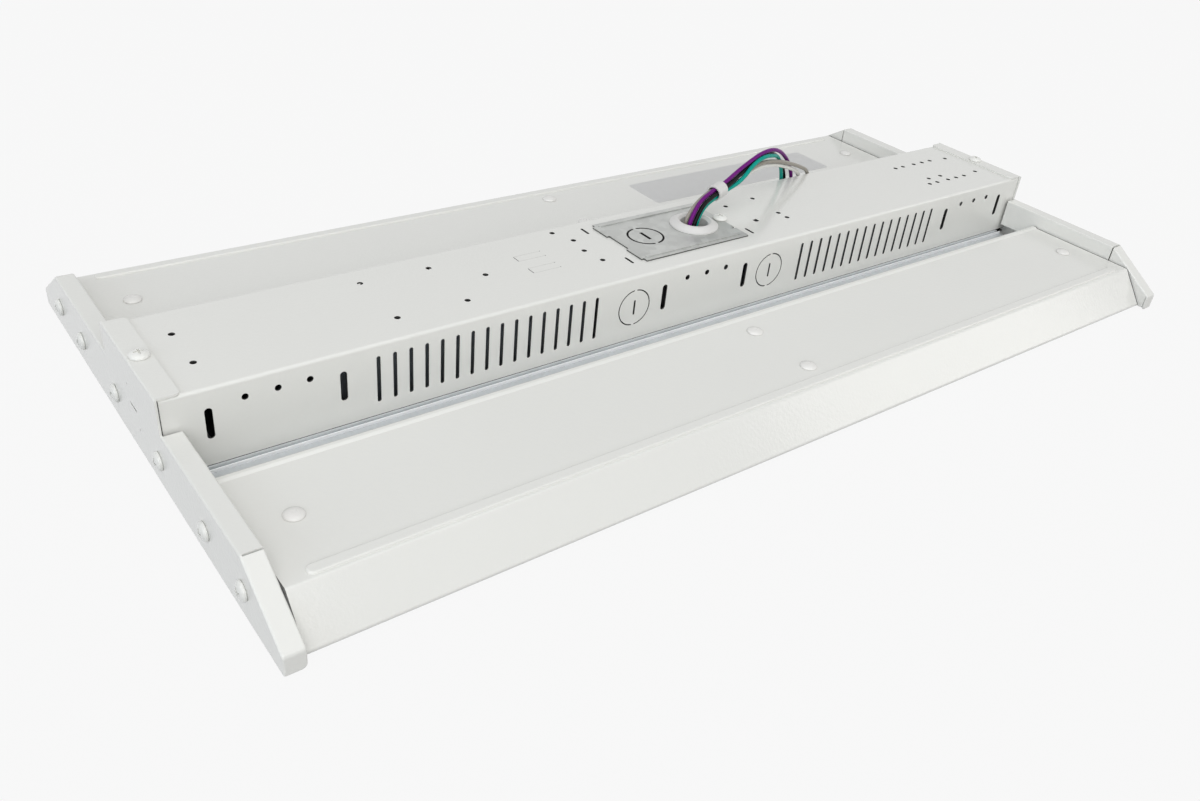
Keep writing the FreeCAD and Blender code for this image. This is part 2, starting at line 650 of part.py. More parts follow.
def make_access_plate():
    body = new_body("access_plate")
    x, y = cell("plate_x"), cell("plate_y")
    half_length, half_width = cell("plate_length") / 2, cell("plate_width") / 2
    blank = new_sketch(body, "XY_Plane", PLATE_LEVEL)
    notch, depth = cell("plate_notch_width"), cell("plate_notch_depth")
    corner = cell("plate_corner")
    left, right = x - half_length, x + half_length
    low, high = y - half_width, y + half_width
    draw_outline(blank, [
        (left + depth, low), (right, low), (right, high), (left + depth, high),
        (left + depth, high - corner), (left, high - corner), (left, high - corner - notch),
        (left + depth, high - corner - notch), (left + depth, low + corner + notch),
        (left, low + corner + notch), (left, low + corner), (left + depth, low + corner),
    ])
    pad(body, blank, cell("plate_sheet"))

    ribs = new_sketch(body, "XY_Plane", PLATE_TOP)
    inset, rib = cell("plate_rib_inset"), cell("plate_rib_width")
    for side in (-1, 1):
        middle = y + side * (half_width - inset)
        draw_slot(ribs, x, middle, cell("plate_length") - 2 * inset, rib, upright=False)
    pad(body, ribs, cell("plate_rib_height"))

    cuts = new_sketch(body, "XY_Plane", PLATE_TOP)
    draw_circle(cuts, BUSHING_X, y, cell("bushing_neck") + 2 * cell("lay_gap"))
    knockout_x = x - cell("plate_knockout")
    draw_knockout(cuts, knockout_x, y)
    draw_slot(cuts, knockout_x, y, cell("pry_length"), cell("pry_width"))
    draw_circle(cuts, *plate_screw_place(), SCREW_HOLE)
    for side in (-1, 1):
        nick_y = y + side * cell("plate_nick_place")
        nick = cell("plate_nick") / 2
        draw_box(cuts, right - 2 * nick, nick_y - nick, right + nick, nick_y + nick)
    pocket(body, cuts, 2 * cell("plate_sheet"))
    return body


# Pan: floor, two walls, two panels, two skirts and two ledges folded from one sheet

def make_pan():
    body = new_body("pan")
    wall = cell("pan_sheet")
    lip, floor = PAN_LIP, cell("pan_floor_top")
    panel, under = cell("pan_panel_top"), PANEL_UNDERSIDE
    foot, ledge = cell("pan_foot"), LEDGE_TOP
    foot_y = SKIRT_FOOT
    ledge_y = foot_y - cell("pan_ledge")
    slant = wall / sine(cell("skirt_angle"))
    inner_foot = foot_y - wall / tangent(cell("skirt_angle")) - slant
    inner_top = foot_y - (under - foot) / tangent(cell("skirt_angle")) - slant
    crest, crest_y = cell("lip_crest"), lip + cell("lip_crest_width")
    fall_y = crest_y + 2 * crest
    upper = [(ledge_y, foot), (foot_y, foot), (SKIRT_TOP, panel), (fall_y, panel), (crest_y, panel + crest)]
    upper.extend([(lip, panel + crest), (lip, floor)])
    lower = [(lip + wall, FLOOR_UNDERSIDE), (lip + wall, under + crest), (crest_y - wall / 4, under + crest)]
    lower.extend([(fall_y - wall / 4, under), (inner_top, under), (inner_foot, ledge), (ledge_y, ledge)])
    section = new_sketch(body, "YZ_Plane")
    mirrored_upper = [(-y, z) for y, z in reversed(upper)]
    mirrored_lower = [(-y, z) for y, z in reversed(lower)]
    draw_outline(section, upper + mirrored_upper + mirrored_lower + lower)
    pad(body, section, 2 * PAN_END, both=True)

    bend = cell("pan_bend")
    outer = [(foot_y, foot), (SKIRT_TOP, panel), (lip, panel + crest), (lip + wall, FLOOR_UNDERSIDE)]
    inner = [(inner_foot, ledge), (inner_top, under), (lip + wall, under + crest), (lip, floor)]
    fillet(body, "X", mirror_places(outer), bend)
    fillet(body, "X", mirror_places(inner), bend - wall)

    # Floor under the ends of the housing.
    tongue = new_sketch(body, "XY_Plane", FLOOR_UNDERSIDE)
    draw_box(tongue, -HOUSING_END, -HALF_HOUSING, HOUSING_END, HALF_HOUSING)
    pad(body, tongue, wall)

    # Tabs folded down from the ends of the panels, where the end caps are screwed on.
    tab_screws = FACE_SCREWS[1:]
    tab_inner, tab_outer = tab_screws[0] - cell("pan_tab_margin"), tab_screws[1] + cell("pan_tab_margin")
    for end in (-1, 1):
        tabs = new_sketch(body, "YZ_Plane", end * PAN_END)
        for side in (-1, 1):
            draw_box(tabs, side * tab_inner, under - cell("pan_tab_drop"), side * tab_outer, panel - wall / 2)
            for screw_y in tab_screws:
                draw_circle(tabs, side * screw_y, cell("face_screw_height"), SCREW_HOLE)
        pad(body, tabs, wall, reverse=end > 0)

    # Stiffening bead along the outer edge of each panel, raised from below.
    length = 2 * (PAN_END - cell("bead_end"))
    middle = SKIRT_TOP - cell("bead_inset")
    beads = new_sketch(body, "XY_Plane", panel)
    hollows = new_sketch(body, "XY_Plane", under)
    for side in (-1, 1):
        draw_slot(beads, 0, side * middle, length, cell("bead_width"), upright=False)
        draw_slot(hollows, 0, side * middle, length - 2 * wall, cell("bead_width") - 2 * wall, upright=False)
    pad(body, beads, cell("bead_height"))
    rim = [
        f"Edge{number}"
        for number, edge in enumerate(body.Shape.Edges, start=1)
        if all(abs(v.Point.z - (panel + cell("bead_height")).number) < 1e-4 for v in edge.Vertexes)
    ]
    round_edges(body, rim, cell("bead_round"))
    pocket(body, hollows, cell("bead_height"), reverse=True)

    # Holes for the push rivets.
    holes = new_sketch(body, "XY_Plane", panel)
    for x, y in rivet_places():
        for side in (-1, 1):
            draw_circle(holes, x, side * y, cell("rivet_shank") + cell("screw_clearance"))
    pocket(body, holes, 2 * wall)

    # Holes for the rail's and the drivers' screws in the floor.
    floor_holes = new_sketch(body, "XY_Plane", floor)
    for x, y in rail_screw_places() + driver_screw_places():
        draw_circle(floor_holes, x, y, SCREW_HOLE)
    pocket(body, floor_holes, 2 * wall)
    return body


def rivet_places():
    """Push rivets of one wing: one at each end and two at mid length."""
    end, edge = BOARD_END - cell("rivet_end"), cell("rivet_edge")
    return [
        (-end, BOARD_MIDDLE), (end, BOARD_MIDDLE),
        (as_size(0), BOARD_INNER + edge), (as_size(0), BOARD_OUTER - edge),
    ]


def rail_screw_places():
    """Screws that hold the rail, the pan and the tray together, clear of the drivers."""
    reach = TRAY_END - cell("rail_screw_inset")
    across = cell("rail_screw_across")
    return [(x, y) for x in (-reach, as_size(0), reach) for y in (-across, across)]


# Gear tray: galvanised sheet between the pan's floor and the housing, with a rib beside each foot

def make_tray():
    body = new_body("gear_tray")
    end, half_width = TRAY_END, HALF_HOUSING + cell("tray_margin")
    low = cell("pan_floor_top") + cell("lay_gap")
    blank = new_sketch(body, "XY_Plane", low)
    draw_box(blank, -end, -half_width, end, half_width)
    for x, y in rail_screw_places():
        draw_circle(blank, x, y, SCREW_HOLE)
    for x, y in driver_screw_places():
        draw_circle(blank, x, y, SCREW_HOLE)
    pad(body, blank, cell("tray_sheet"))
    ribs = new_sketch(body, "XY_Plane", TRAY_TOP)
    inner = HALF_HOUSING + cell("screw_clearance")
    for side in (-1, 1):
        near, far = side * inner, side * (inner + cell("tray_rib_width"))
        draw_box(ribs, -end, near, end, far)
    pad(body, ribs, cell("tray_rib"))
    return body


# End caps: one folded sheet each, a wall with flanges round its upper edges

def make_end_cap(label, end):
    body = new_body(label)
    wall = cell("cap_sheet")
    face = CAP_FACE
    width, tip = CAP_TIP, cell("cap_tip_height")
    shoulder, shoulder_y = SHOULDER_HEIGHT, SHOULDER
    inward = end > 0

    outline = new_sketch(body, "YZ_Plane", end * face)
    right = [(width, 0), (width, tip), (shoulder_y, shoulder), (CAP_NECK, shoulder), (CAP_NECK, CAP_TOP)]
    draw_outline(outline, right + [(-as_size(y), z) for y, z in reversed(right)])
    pad(body, outline, wall, reverse=inward)

    # Flanges over the wings, over the slopes and round the tips.
    relief = cell("cap_relief") / 2
    level_start, level_stop = CAP_NECK + wall, shoulder_y - relief
    slope_start, inner_tip = shoulder_y + relief, width - wall
    flanges = new_sketch(body, "YZ_Plane", end * face)
    for side in (-1, 1):
        draw_box(flanges, side * level_start, shoulder - wall, side * level_stop, shoulder)
        draw_outline(flanges, [
            (side * slope_start, slope_height(slope_start)), (side * width, tip), (side * width, 0),
            (side * inner_tip, 0), (side * inner_tip, slope_height(inner_tip) - SLOPE_DROP),
            (side * slope_start, slope_height(slope_start) - SLOPE_DROP),
        ])
    pad(body, flanges, cell("cap_flange_depth"), reverse=inward)

    # Returns folded down from those flanges, which the pan's ends are screwed to.
    returns = new_sketch(body, "YZ_Plane", end * RETURN_FACE)
    step_y, step, foot = PAN_LIP - cell("return_step_inset"), cell("return_step"), cell("return_foot")
    return_tip = inner_tip - cell("return_play")
    for side in (-1, 1):
        draw_outline(returns, [
            (side * level_start, shoulder), (side * level_stop, shoulder), (side * level_stop, foot),
            (side * step_y, foot), (side * step_y, step), (side * level_start, step),
        ])
        draw_outline(returns, [
            (side * slope_start, slope_height(slope_start)), (side * return_tip, slope_height(return_tip)),
            (side * return_tip, foot), (side * slope_start, foot),
        ])
    pad(body, returns, wall, reverse=not inward)

    top_flange = new_sketch(body, "YZ_Plane", end * face)
    draw_box(top_flange, -HALF_HOUSING, CAP_TOP - wall, HALF_HOUSING, CAP_TOP)
    pad(body, top_flange, cell("cap_top_flange_depth"), reverse=inward)

    # Free corners of the flanges, then the bends.
    top_edge = end * (face - cell("cap_top_flange_depth"))
    fillet(body, "Z", [(top_edge, HALF_HOUSING), (top_edge, -HALF_HOUSING)], cell("cap_corner"))
    tip_edge = end * (face - cell("cap_flange_depth"))
    fillet(body, "Y", [(tip_edge, 0)], cell("cap_corner"))
    bend = cell("cap_bend")
    fillet(body, "X", mirror_places([(width, tip)]), cell("cap_tip_bend"))
    inner_bend = mirror_places([(inner_tip, slope_height(inner_tip) - SLOPE_DROP)])
    fillet(body, "X", inner_bend, cell("cap_tip_bend") - wall)
    round_edges(body, bends_at(body, end * face, True), bend)
    round_edges(body, bends_at(body, end * RETURN_FACE, False), cell("return_bend"))

    holes = new_sketch(body, "YZ_Plane")
    for side in (-1, 1):
        for screw_y in FACE_SCREWS:
            draw_circle(holes, side * screw_y, cell("face_screw_height"), SCREW_HOLE)
    # Knockout: paint closes most of its slit, so two short gaps and the pry slot show.
    height = cell("housing_top") - cell("cap_knockout_drop")
    draw_slot(holes, 0, height, cell("pry_length"), cell("pry_width"), upright=False)
    for side in (-1, 1):
        gap_y = side * cell("knockout_radius") * cell("cap_gap_across")
        gap_z = height + side * cell("knockout_radius") * cell("cap_gap_up")
        draw_circle(holes, gap_y, gap_z, cell("cap_knockout_gap"))
    pocket(body, holes, reverse=inward)

    screw_hole = new_sketch(body, "XY_Plane", CAP_TOP)
    draw_circle(screw_hole, end * (face - cell("top_screw_inset")), 0, SCREW_HOLE)
    pocket(body, screw_hole, 2 * wall)
    return body


def bends_at(body, x, round_tips):
    """Folded edges on the plane at x: the level and sloping ones, and those round the tips if asked for."""
    plane, tip = as_size(x).number, CAP_TIP.number
    shortest, low = cell("cap_flange_depth").number, cell("return_step").number
    found = []
    for number, edge in enumerate(body.Shape.Edges, start=1):
        points = [vertex.Point for vertex in edge.Vertexes]
        if len(points) < 2 or any(abs(point.x - plane) > 1e-4 for point in points):
            continue
        first, last = points[0], points[-1]
        upright, level = abs(first.y - last.y) < 1e-4, abs(first.z - last.z) < 1e-4
        at_tip = not level and max(abs(first.y), abs(last.y)) > tip - 1e-4
        folded = (level and first.z > 2 * low) or not (level or upright)
        if (folded and edge.Length > shortest) or (round_tips and at_tip):
            found.append(f"Edge{number}")
    return found


# Rail between the lenses: a hat section screwed under the pan's floor

def make_rail():
    body = new_body("lens_rail")
    wall = cell("rail_sheet")
    leg, brim = RAIL_LEG, RAIL_LEG + cell("rail_brim")
    foot = cell("pan_foot")
    top = FLOOR_UNDERSIDE - cell("lay_gap")
    right = [(leg, top), (leg, foot + wall), (brim, foot + wall), (brim, foot), (leg - wall, foot)]
    right.append((leg - wall, top - wall))
    section = new_sketch(body, "YZ_Plane")
    draw_outline(section, right + [(-y, z) for y, z in reversed(right)])
    pad(body, section, 2 * PAN_END, both=True)
    fillet(body, "X", mirror_places([(leg, top), (leg - wall, foot)]), cell("pan_bend"))
    fillet(body, "X", mirror_places([(leg - wall, top - wall), (leg, foot + wall)]), cell("pan_bend") - wall)
    holes = new_sketch(body, "XY_Plane", top)
    for x, y in rail_screw_places() + driver_screw_places():
        draw_circle(holes, x, y, SCREW_HOLE)
    pocket(body, holes, 2 * wall)
    return body


# Lenses: flat sheets that lie on the ledge of a skirt and on the brim of the rail

def make_lens(label, side):
    box = document.addObject("Part::Box", label)
    box.Label = label
    play, angle = cell("lens_play"), cell("skirt_angle")
    inner, end = RAIL_LEG + play, PAN_END - cell("lens_end")
    skirt_at_lens = SKIRT_FOOT - (cell("lens_thickness") + cell("pan_sheet")) / tangent(angle)
    outer = skirt_at_lens - cell("pan_sheet") / sine(angle) - play / 2
    bind(box, "Length", 2 * end)
    bind(box, "Width", outer - inner)
    bind(box, "Height", cell("lens_thickness"))
    bind(box, ".Placement.Base.x", -end)
    bind(box, ".Placement.Base.y", inner if side > 0 else -outer)
    bind(box, ".Placement.Base.z", LEDGE_TOP + cell("lay_gap"))
    return box


# Light boards: each with two rows of diodes on its underside

def make_board(label, side):
    body = new_body(label)
    middle = side * BOARD_MIDDLE
    underside = PANEL_UNDERSIDE - cell("lay_gap") - cell("board_thickness")
    blank = new_sketch(body, "XY_Plane", underside)
    draw_box(blank, -BOARD_END, side * BOARD_INNER, BOARD_END, side * BOARD_OUTER)
    for x, y in rivet_places():
        draw_circle(blank, x, side * y, cell("rivet_shank") + cell("screw_clearance"))
    pad(body, blank, cell("board_thickness"))

    diodes = new_sketch(body, "XY_Plane", underside)
    first = cell("diode_end") - BOARD_END
    half = cell("diode_size") / 2
    for row in (-1, 1):
        y = middle + row * cell("diode_row")
        draw_box(diodes, first - half, y - half, first + half, y + half)
    pair = pad(body, diodes, cell("diode_height"), reverse=True)
    row_of(body, pair, "X_Axis", cell("diode_count"), DIODE_PITCH)
    return body


# Drivers: sealed cans with a mounting foot at each end

def driver_screw_places():
    reach = DRIVER_LENGTH / 2 + cell("driver_foot") / 2
    return [(side * DRIVER_MIDDLE + end * reach, as_size(0)) for side in (-1, 1) for end in (-1, 1)]


def make_driver(label, side):
    body = new_body(label)
    middle = side * DRIVER_MIDDLE
    half_length, half_width = DRIVER_LENGTH / 2, DRIVER_SIDE
    low = TRAY_TOP + cell("lay_gap")
    can = new_sketch(body, "XY_Plane", low)
    draw_box(can, middle - half_length, -half_width, middle + half_length, half_width)
    pad(body, can, cell("driver_height"))
    corners = [(middle + end * half_length, edge * half_width) for end in (-1, 1) for edge in (-1, 1)]
    fillet(body, "Z", corners, cell("driver_corner"))
    top = low + cell("driver_height")
    fillet(body, "X", [(half_width, top), (-half_width, top)], cell("driver_corner"))
    feet = new_sketch(body, "XY_Plane", low)
    reach = half_length + cell("driver_foot")
    half_foot = cell("driver_foot_width") / 2
    draw_box(feet, middle - reach, -half_foot, middle + reach, half_foot)
    pad(body, feet, cell("driver_foot_sheet"))
    holes = new_sketch(body, "XY_Plane", low + cell("driver_foot_sheet"))
    for end in (-1, 1):
        draw_circle(holes, middle + end * (half_length + cell("driver_foot") / 2), 0, SCREW_HOLE)
    pocket(body, holes, 2 * cell("driver_foot_sheet"))
    return body


# Screws, rivets, bushing and sleeve: turned or moulded pieces

def placed(shape, origin, direction):
    """The shape, made along +Z from the origin, put at a place and turned to a direction."""
    turned = shape.copy()
    turned.Placement = FreeCAD.Placement(origin, FreeCAD.Rotation(FreeCAD.Vector(0, 0, 1), direction))
    return turned


def turned(points, crown):
    """A solid turned about Z: the profile's points, from the axis out and up, then a crown arc back to it."""
    corners = [FreeCAD.Vector(x, 0, z) for x, z in points]
    edges = [Part.LineSegment(first, last).toShape() for first, last in zip(corners, corners[1:])]
    shoulder, top = (FreeCAD.Vector(x, 0, z) for x, z in crown)
    edges.append(Part.Arc(corners[-1], shoulder, top).toShape())
    edges.append(Part.LineSegment(top, corners[0]).toShape())
    return Part.Face(Part.Wire(edges)).revolve(FreeCAD.Vector(0, 0, 0), FreeCAD.Vector(0, 0, 1), 360)


def fastener(radius, height, rim, shank, length, tip):
    """A head with a low crown on a shank with a tapered end, seated at the origin with its crown on +Z."""
    profile = [(0, -length - shank), (tip, -length - shank), (shank, -length)]
    profile.extend([(shank, 0), (radius, 0), (radius, rim)])
    rise = height - rim
    crown = (radius * radius + rise * rise) / (2 * rise)
    half_angle = math.asin(radius / crown) / 2
    shoulder = (crown * math.sin(half_angle), height - crown * (1 - math.cos(half_angle)))
    return turned(profile, [shoulder, (0, height)])


def screw_shape(length):
    """A pan head screw with a cross recess."""
    height = cell("screw_head_height").number
    shank = cell("screw_shank").number / 2
    radius, rim, tip = cell("screw_head").number / 2, cell("screw_rim").number, cell("screw_tip").number
    body = fastener(radius, height, rim, shank, length, tip)
    span, slot = cell("screw_recess").number, cell("screw_recess_slot").number
    low = height - cell("screw_recess_depth").number
    for long_side, short_side in ((span, slot), (slot, span)):
        corner = FreeCAD.Vector(-long_side / 2, -short_side / 2, low)
        body = body.cut(Part.makeBox(long_side, short_side, height, corner))
    return body


def make_group(label, shapes):
    """A node of several separate solids, one for each of the like fasteners."""
    feature = document.addObject("Part::Feature", label)
    feature.Label = label
    feature.Shape = Part.makeCompound(shapes) if len(shapes) > 1 else shapes[0]
    return feature


def make_face_screws(label, end):
    shape = screw_shape(cell("face_screw_length").number)
    origin_x = end * (CAP_FACE + cell("lay_gap")).number
    height = cell("face_screw_height").number
    shapes = []
    for screw_y in FACE_SCREWS:
        for side in (-1, 1):
            origin = FreeCAD.Vector(origin_x, side * screw_y.number, height)
            shapes.append(placed(shape, origin, FreeCAD.Vector(end, 0, 0)))
    return make_group(label, shapes)


def make_cap_top_screws():
    shape = screw_shape(cell("short_screw_length").number)
    x = (CAP_FACE - cell("top_screw_inset")).number
    z = (CAP_TOP + cell("lay_gap")).number
    up = FreeCAD.Vector(0, 0, 1)
    return make_group("cap_top_screws", [placed(shape, FreeCAD.Vector(end * x, 0, z), up) for end in (-1, 1)])


def make_plate_screw():
    x, y = plate_screw_place()
    origin = FreeCAD.Vector(x.number, y.number, (PLATE_TOP + cell("lay_gap")).number)
    shape = screw_shape(cell("short_screw_length").number)
    return make_group("access_plate_screw", [placed(shape, origin, FreeCAD.Vector(0, 0, 1))])


def make_rail_screws():
    shape = screw_shape(cell("short_screw_length").number)
    seat = FLOOR_UNDERSIDE - 2 * cell("lay_gap") - cell("rail_sheet")
    down = FreeCAD.Vector(0, 0, -1)
    return make_group("rail_screws", [
        placed(shape, FreeCAD.Vector(x.number, y.number, seat.number), down) for x, y in rail_screw_places()
    ])


def make_driver_screws():
    shape = screw_shape(cell("driver_screw_length").number)
    seat = TRAY_TOP + 2 * cell("lay_gap") + cell("driver_foot_sheet")
    up = FreeCAD.Vector(0, 0, 1)
    return make_group("driver_screws", [
        placed(shape, FreeCAD.Vector(x.number, y.number, seat.number), up) for x, y in driver_screw_places()
    ])


def rivet_shape():
    """A push rivet: a low domed head on a shank with a tapered end."""
    radius, shank = cell("rivet_head").number / 2, cell("rivet_shank").number / 2
    height, rim, tip = cell("rivet_height").number, cell("rivet_rim").number, cell("rivet_tip").number
    return fastener(radius, height, rim, shank, cell("rivet_length").number, tip)


def make_rivets(label, side):
    shape = rivet_shape()
    z = (cell("pan_panel_top") + cell("lay_gap")).number
    up = FreeCAD.Vector(0, 0, 1)
    return make_group(label, [
        placed(shape, FreeCAD.Vector(x.number, side * y.number, z), up) for x, y in rivet_places()
    ])


def make_bushing():
    """A snap bushing: a round flange on the plate and a neck through it, turned as one profile."""
    body = new_body("wire_bushing")
    bore, flange, neck = cell("bushing_bore") / 2, cell("bushing_flange") / 2, cell("bushing_neck") / 2
    seat = PLATE_TOP + cell("lay_gap")
    top, low = seat + cell("bushing_height"), seat - cell("bushing_depth")
    barb = neck + cell("bushing_barb")
    barb_top = PLATE_LEVEL - cell("housing_sheet") - cell("bushing_barb_play")
    barb_low = barb_top - cell("bushing_barb_height")
    crown = flange - cell("bushing_crown_width")
    mouth = cell("bushing_mouth")
    profile = new_sketch(body, "XZ_Plane")
    draw_outline(profile, [
        (bore, low), (neck - cell("bushing_taper"), low), (barb, barb_low), (barb, barb_top),
        (neck, barb_top), (neck, seat), (flange, seat), (flange, seat + cell("bushing_rim")),
        (crown, top - cell("bushing_crown_drop")), (bore + mouth, top), (bore, top - mouth),
    ])
    turn = body.newObject("PartDesign::Revolution", "wire_bushing_turn")
    turn.Profile = profile
    turn.ReferenceAxis = (profile, ["V_Axis"])
    turn.Angle = 360
    bind(body, ".Placement.Base.x", BUSHING_X)
    bind(body, ".Placement.Base.y", cell("plate_y"))
    document.recompute()
    mouth_edges = [
        f"Edge{number}"
        for number, edge in enumerate(body.Shape.Edges, start=1)
        if isinstance(edge.Curve, Part.Circle) and abs(edge.Curve.Center.z - top.number) < 1e-4
    ]
    round_edges(body, mouth_edges, mouth / 2)
    return body


# Wires: each a round section along straight runs joined by tangent arcs

# The points below are drawn for these sizes, and route_place carries them to the real ones.
DRAWN_WIRE = 2.6
DRAWN_BUSHING_X = 21.2
DRAWN_HALF_HOUSING = 36.95
DRAWN_TOP = 49.0
DRAWN_TRAY_TOP = 8.05
# Middle of the bundle, from the driver through the bushing and the sleeve to where the wires part.
BUNDLE = [
    (52.0, 2.6, 22.0), (41.0, 2.6, 22.0), (30.6, 2.4, 24.8), (22.4, 2.0, 32.6), (18.2, 1.8, 43.4),
    (19.2, 2.0, 53.4), (26.4, 3.8, 61.2), (38.4, 8.0, 63.6), (52.8, 12.0, 65.4), (66.6, 15.0, 69.0),
    (80.0, 17.6, 73.6), (91.0, 20.0, 75.6), (104.0, 23.0, 74.6),
]
# Place of each wire in the bundle at every point but the last: towards the outside of the bend, and across.
SPREAD = {
    "wire_purple": [
        (2.6, -0.3), (2.6, -0.3), (2.6, -0.3), (2.6, -0.3), (2.6, -1.2), (2.6, -1.6),
        (2.6, -0.3), (2.6, -0.3), (2.6, -0.3), (3.4, 0.2), (3.2, 0.0), (3.6, 0.2),
    ],
    "wire_black": [
        (0.8, -2.5), (0.8, -2.5), (0.8, -2.5), (0.8, -2.5), (0.0, -2.8), (-0.4, -2.6),
        (0.8, -2.5), (0.8, -2.5), (0.8, -2.5), (0.6, -0.8), (0.0, 1.2), (0.2, 1.6),
    ],
    "wire_green": [
        (-2.1, -1.5), (-2.1, -1.5), (-2.1, -1.5), (-2.1, -1.5), (-2.8, -1.2), (-3.4, -1.6),
        (-2.1, -1.5), (-2.1, -1.5), (-2.1, -1.5), (-2.4, -2.8), (1.0, -1.8), (1.6, -1.8),
    ],
    "wire_white": [
        (-2.1, 1.5), (-2.1, 1.5), (-2.1, 1.5), (-2.1, 1.5), (-1.2, 1.6), (-1.6, 1.4),
        (-2.1, 1.5), (-2.1, 1.5), (-2.1, 1.5), (-4.2, -0.2), (-5.6, 1.2), (-6.2, 0.6),
    ],
    "wire_grey": [
        (0.8, 2.5), (0.8, 2.5), (0.8, 2.5), (0.8, 2.5), (2.2, 2.2), (2.6, 2.0),
        (0.8, 2.5), (0.8, 2.5), (0.8, 2.5), (-1.8, 2.4), (-2.8, 0.2), (-3.0, 0.2),
    ],
}
# Free ends, over the housing's far edge and down into the channel behind it.
TAILS = {
    "wire_purple": [
        (103.6, 22.8, 79.0), (114.8, 26.2, 74.8), (126.0, 30.4, 67.4), (137.0, 35.2, 58.2),
        (146.4, 40.2, 47.2), (152.6, 44.0, 34.2), (158.4, 46.2, 21.6), (168.4, 47.0, 12.6), (180.4, 46.8, 9.8),
    ],
    "wire_black": [
        (104.6, 26.6, 75.6), (117.0, 31.8, 70.2), (128.4, 36.2, 61.8), (137.6, 39.8, 51.6),
        (143.6, 43.0, 40.0), (147.6, 45.6, 28.0), (153.0, 48.6, 17.4), (163.0, 51.6, 11.0), (174.6, 54.6, 9.4),
    ],
    "wire_green": [
        (102.0, 21.4, 75.4), (112.2, 25.8, 72.2), (121.2, 31.0, 64.8), (129.6, 35.8, 56.4),
        (136.6, 40.2, 46.4), (140.6, 42.6, 34.2), (144.4, 43.8, 22.6), (151.0, 44.4, 13.2), (161.4, 43.6, 9.8),
    ],
    "wire_white": [
        (104.2, 23.0, 68.2), (118.4, 26.4, 64.4), (132.6, 30.8, 58.8), (143.6, 34.8, 54.0),
        (152.6, 39.6, 48.0), (159.4, 43.8, 37.6), (164.4, 45.6, 25.6), (170.6, 44.4, 15.2), (181.6, 42.2, 9.8),
    ],
    "wire_grey": [
        (103.4, 22.0, 71.2), (117.2, 25.0, 67.6), (131.6, 28.8, 62.6), (146.4, 33.0, 56.6),
        (158.0, 37.4, 51.2), (167.6, 42.4, 41.2), (172.8, 46.2, 28.4), (178.6, 48.8, 16.6), (189.4, 51.0, 9.8),
    ],
}
# The sleeve sits half way between these two points of the bundle.
SLEEVE_BETWEEN = (7, 8)
ARC_SHARE = 0.45


def route_radii(points):
    """Radius of the arc at each inner point of a route, from its shorter run and its turn."""
    radii = []
    for before, point, after in zip(points, points[1:], points[2:]):
        back, ahead = point - before, after - point
        half_turn = back.getAngle(ahead) / 2
        radii.append(ARC_SHARE * min(back.Length, ahead.Length) / math.tan(half_turn))
    return radii


def route_wire(points):
    """Straight runs joined by tangent arcs."""
    edges = []
    last = points[0]
    for before, point, after in zip(points, points[1:], points[2:]):
        back = (before - point).normalize()
        ahead = (after - point).normalize()
        reach = ARC_SHARE * min((point - before).Length, (after - point).Length)
        half_turn = (math.pi - back.getAngle(ahead)) / 2
        radius = reach / math.tan(half_turn)
        start, stop = point + back * reach, point + ahead * reach
        inward = (back + ahead).normalize()
        middle = point + inward * (radius / math.cos(half_turn) - radius)
        edges.append(Part.LineSegment(last, start).toShape())
        edges.append(Part.Arc(start, middle, stop).toShape())
        last = stop
    edges.append(Part.LineSegment(last, points[-1]).toShape())
    return Part.Wire(edges)


def route_place(place):
    """A point of the wires' route, carried with the bushing, the far wall and the heights beside it."""
    x, y, z = place
    scale = cell("wire_diameter").number / DRAWN_WIRE
    top, tray = cell("housing_top").number, TRAY_TOP.number
    if z > DRAWN_TOP:
        height = top + (z - DRAWN_TOP) * scale
    else:
        height = tray + (z - DRAWN_TRAY_TOP) * (top - tray) / (DRAWN_TOP - DRAWN_TRAY_TOP)
    along = BUSHING_X.number + (x - DRAWN_BUSHING_X) * scale
    return FreeCAD.Vector(along, y * HALF_HOUSING.number / DRAWN_HALF_HOUSING, height)


def wire_points(label):
    """The points of a wire's route: its places in the bundle, then its free end."""
    middle = [route_place(place) for place in BUNDLE]
    scale = cell("wire_diameter").number / DRAWN_WIRE
    across = FreeCAD.Vector(0, 1, 0)
    points = []
    for number, (outwards, sideways) in enumerate(SPREAD[label]):
        along = middle[number + 1] - middle[max(number - 1, 0)]
        outer = along.cross(across).normalize()
        side = outer.cross(along).normalize()
        points.append(middle[number] + outer * (outwards * scale) + side * (sideways * scale))
    return points + [route_place(place) for place in TAILS[label]]


def make_wire(label):
    points = wire_points(label)
    path = route_wire(points)
    radius = cell("wire_diameter").number / 2
    start_direction = points[1] - points[0]
    section = Part.Wire([Part.makeCircle(radius, points[0], start_direction)])
    tube = path.makePipeShell([section], True, True)
    feature = document.addObject("Part::Feature", label)
    feature.Label = label
    feature.Shape = tube
    expected = math.pi * radius * radius * path.Length
    radii = route_radii(points)
    runs = [round((b - a).Length, 1) for a, b in zip(points, points[1:])]
    print(label, "length", round(path.Length, 1), "volume ratio", round(tube.Volume / expected, 4))
    print("  radii", [round(r, 1) for r in radii], "runs", runs)
    return feature


def make_sleeve():
    """A short white tube that holds the wires together."""
    inner = cell("sleeve_bore").number / 2
    outer = inner + cell("sleeve_wall").number
    length = cell("sleeve_length").number
    tube = Part.makeCylinder(outer, length, FreeCAD.Vector(0, 0, -length / 2))
    tube = tube.cut(Part.makeCylinder(inner, length, FreeCAD.Vector(0, 0, -length / 2)))
    before, after = (route_place(BUNDLE[number]) for number in SLEEVE_BETWEEN)
    return make_group("wire_sleeve", [placed(tube, (before + after) / 2, after - before)])


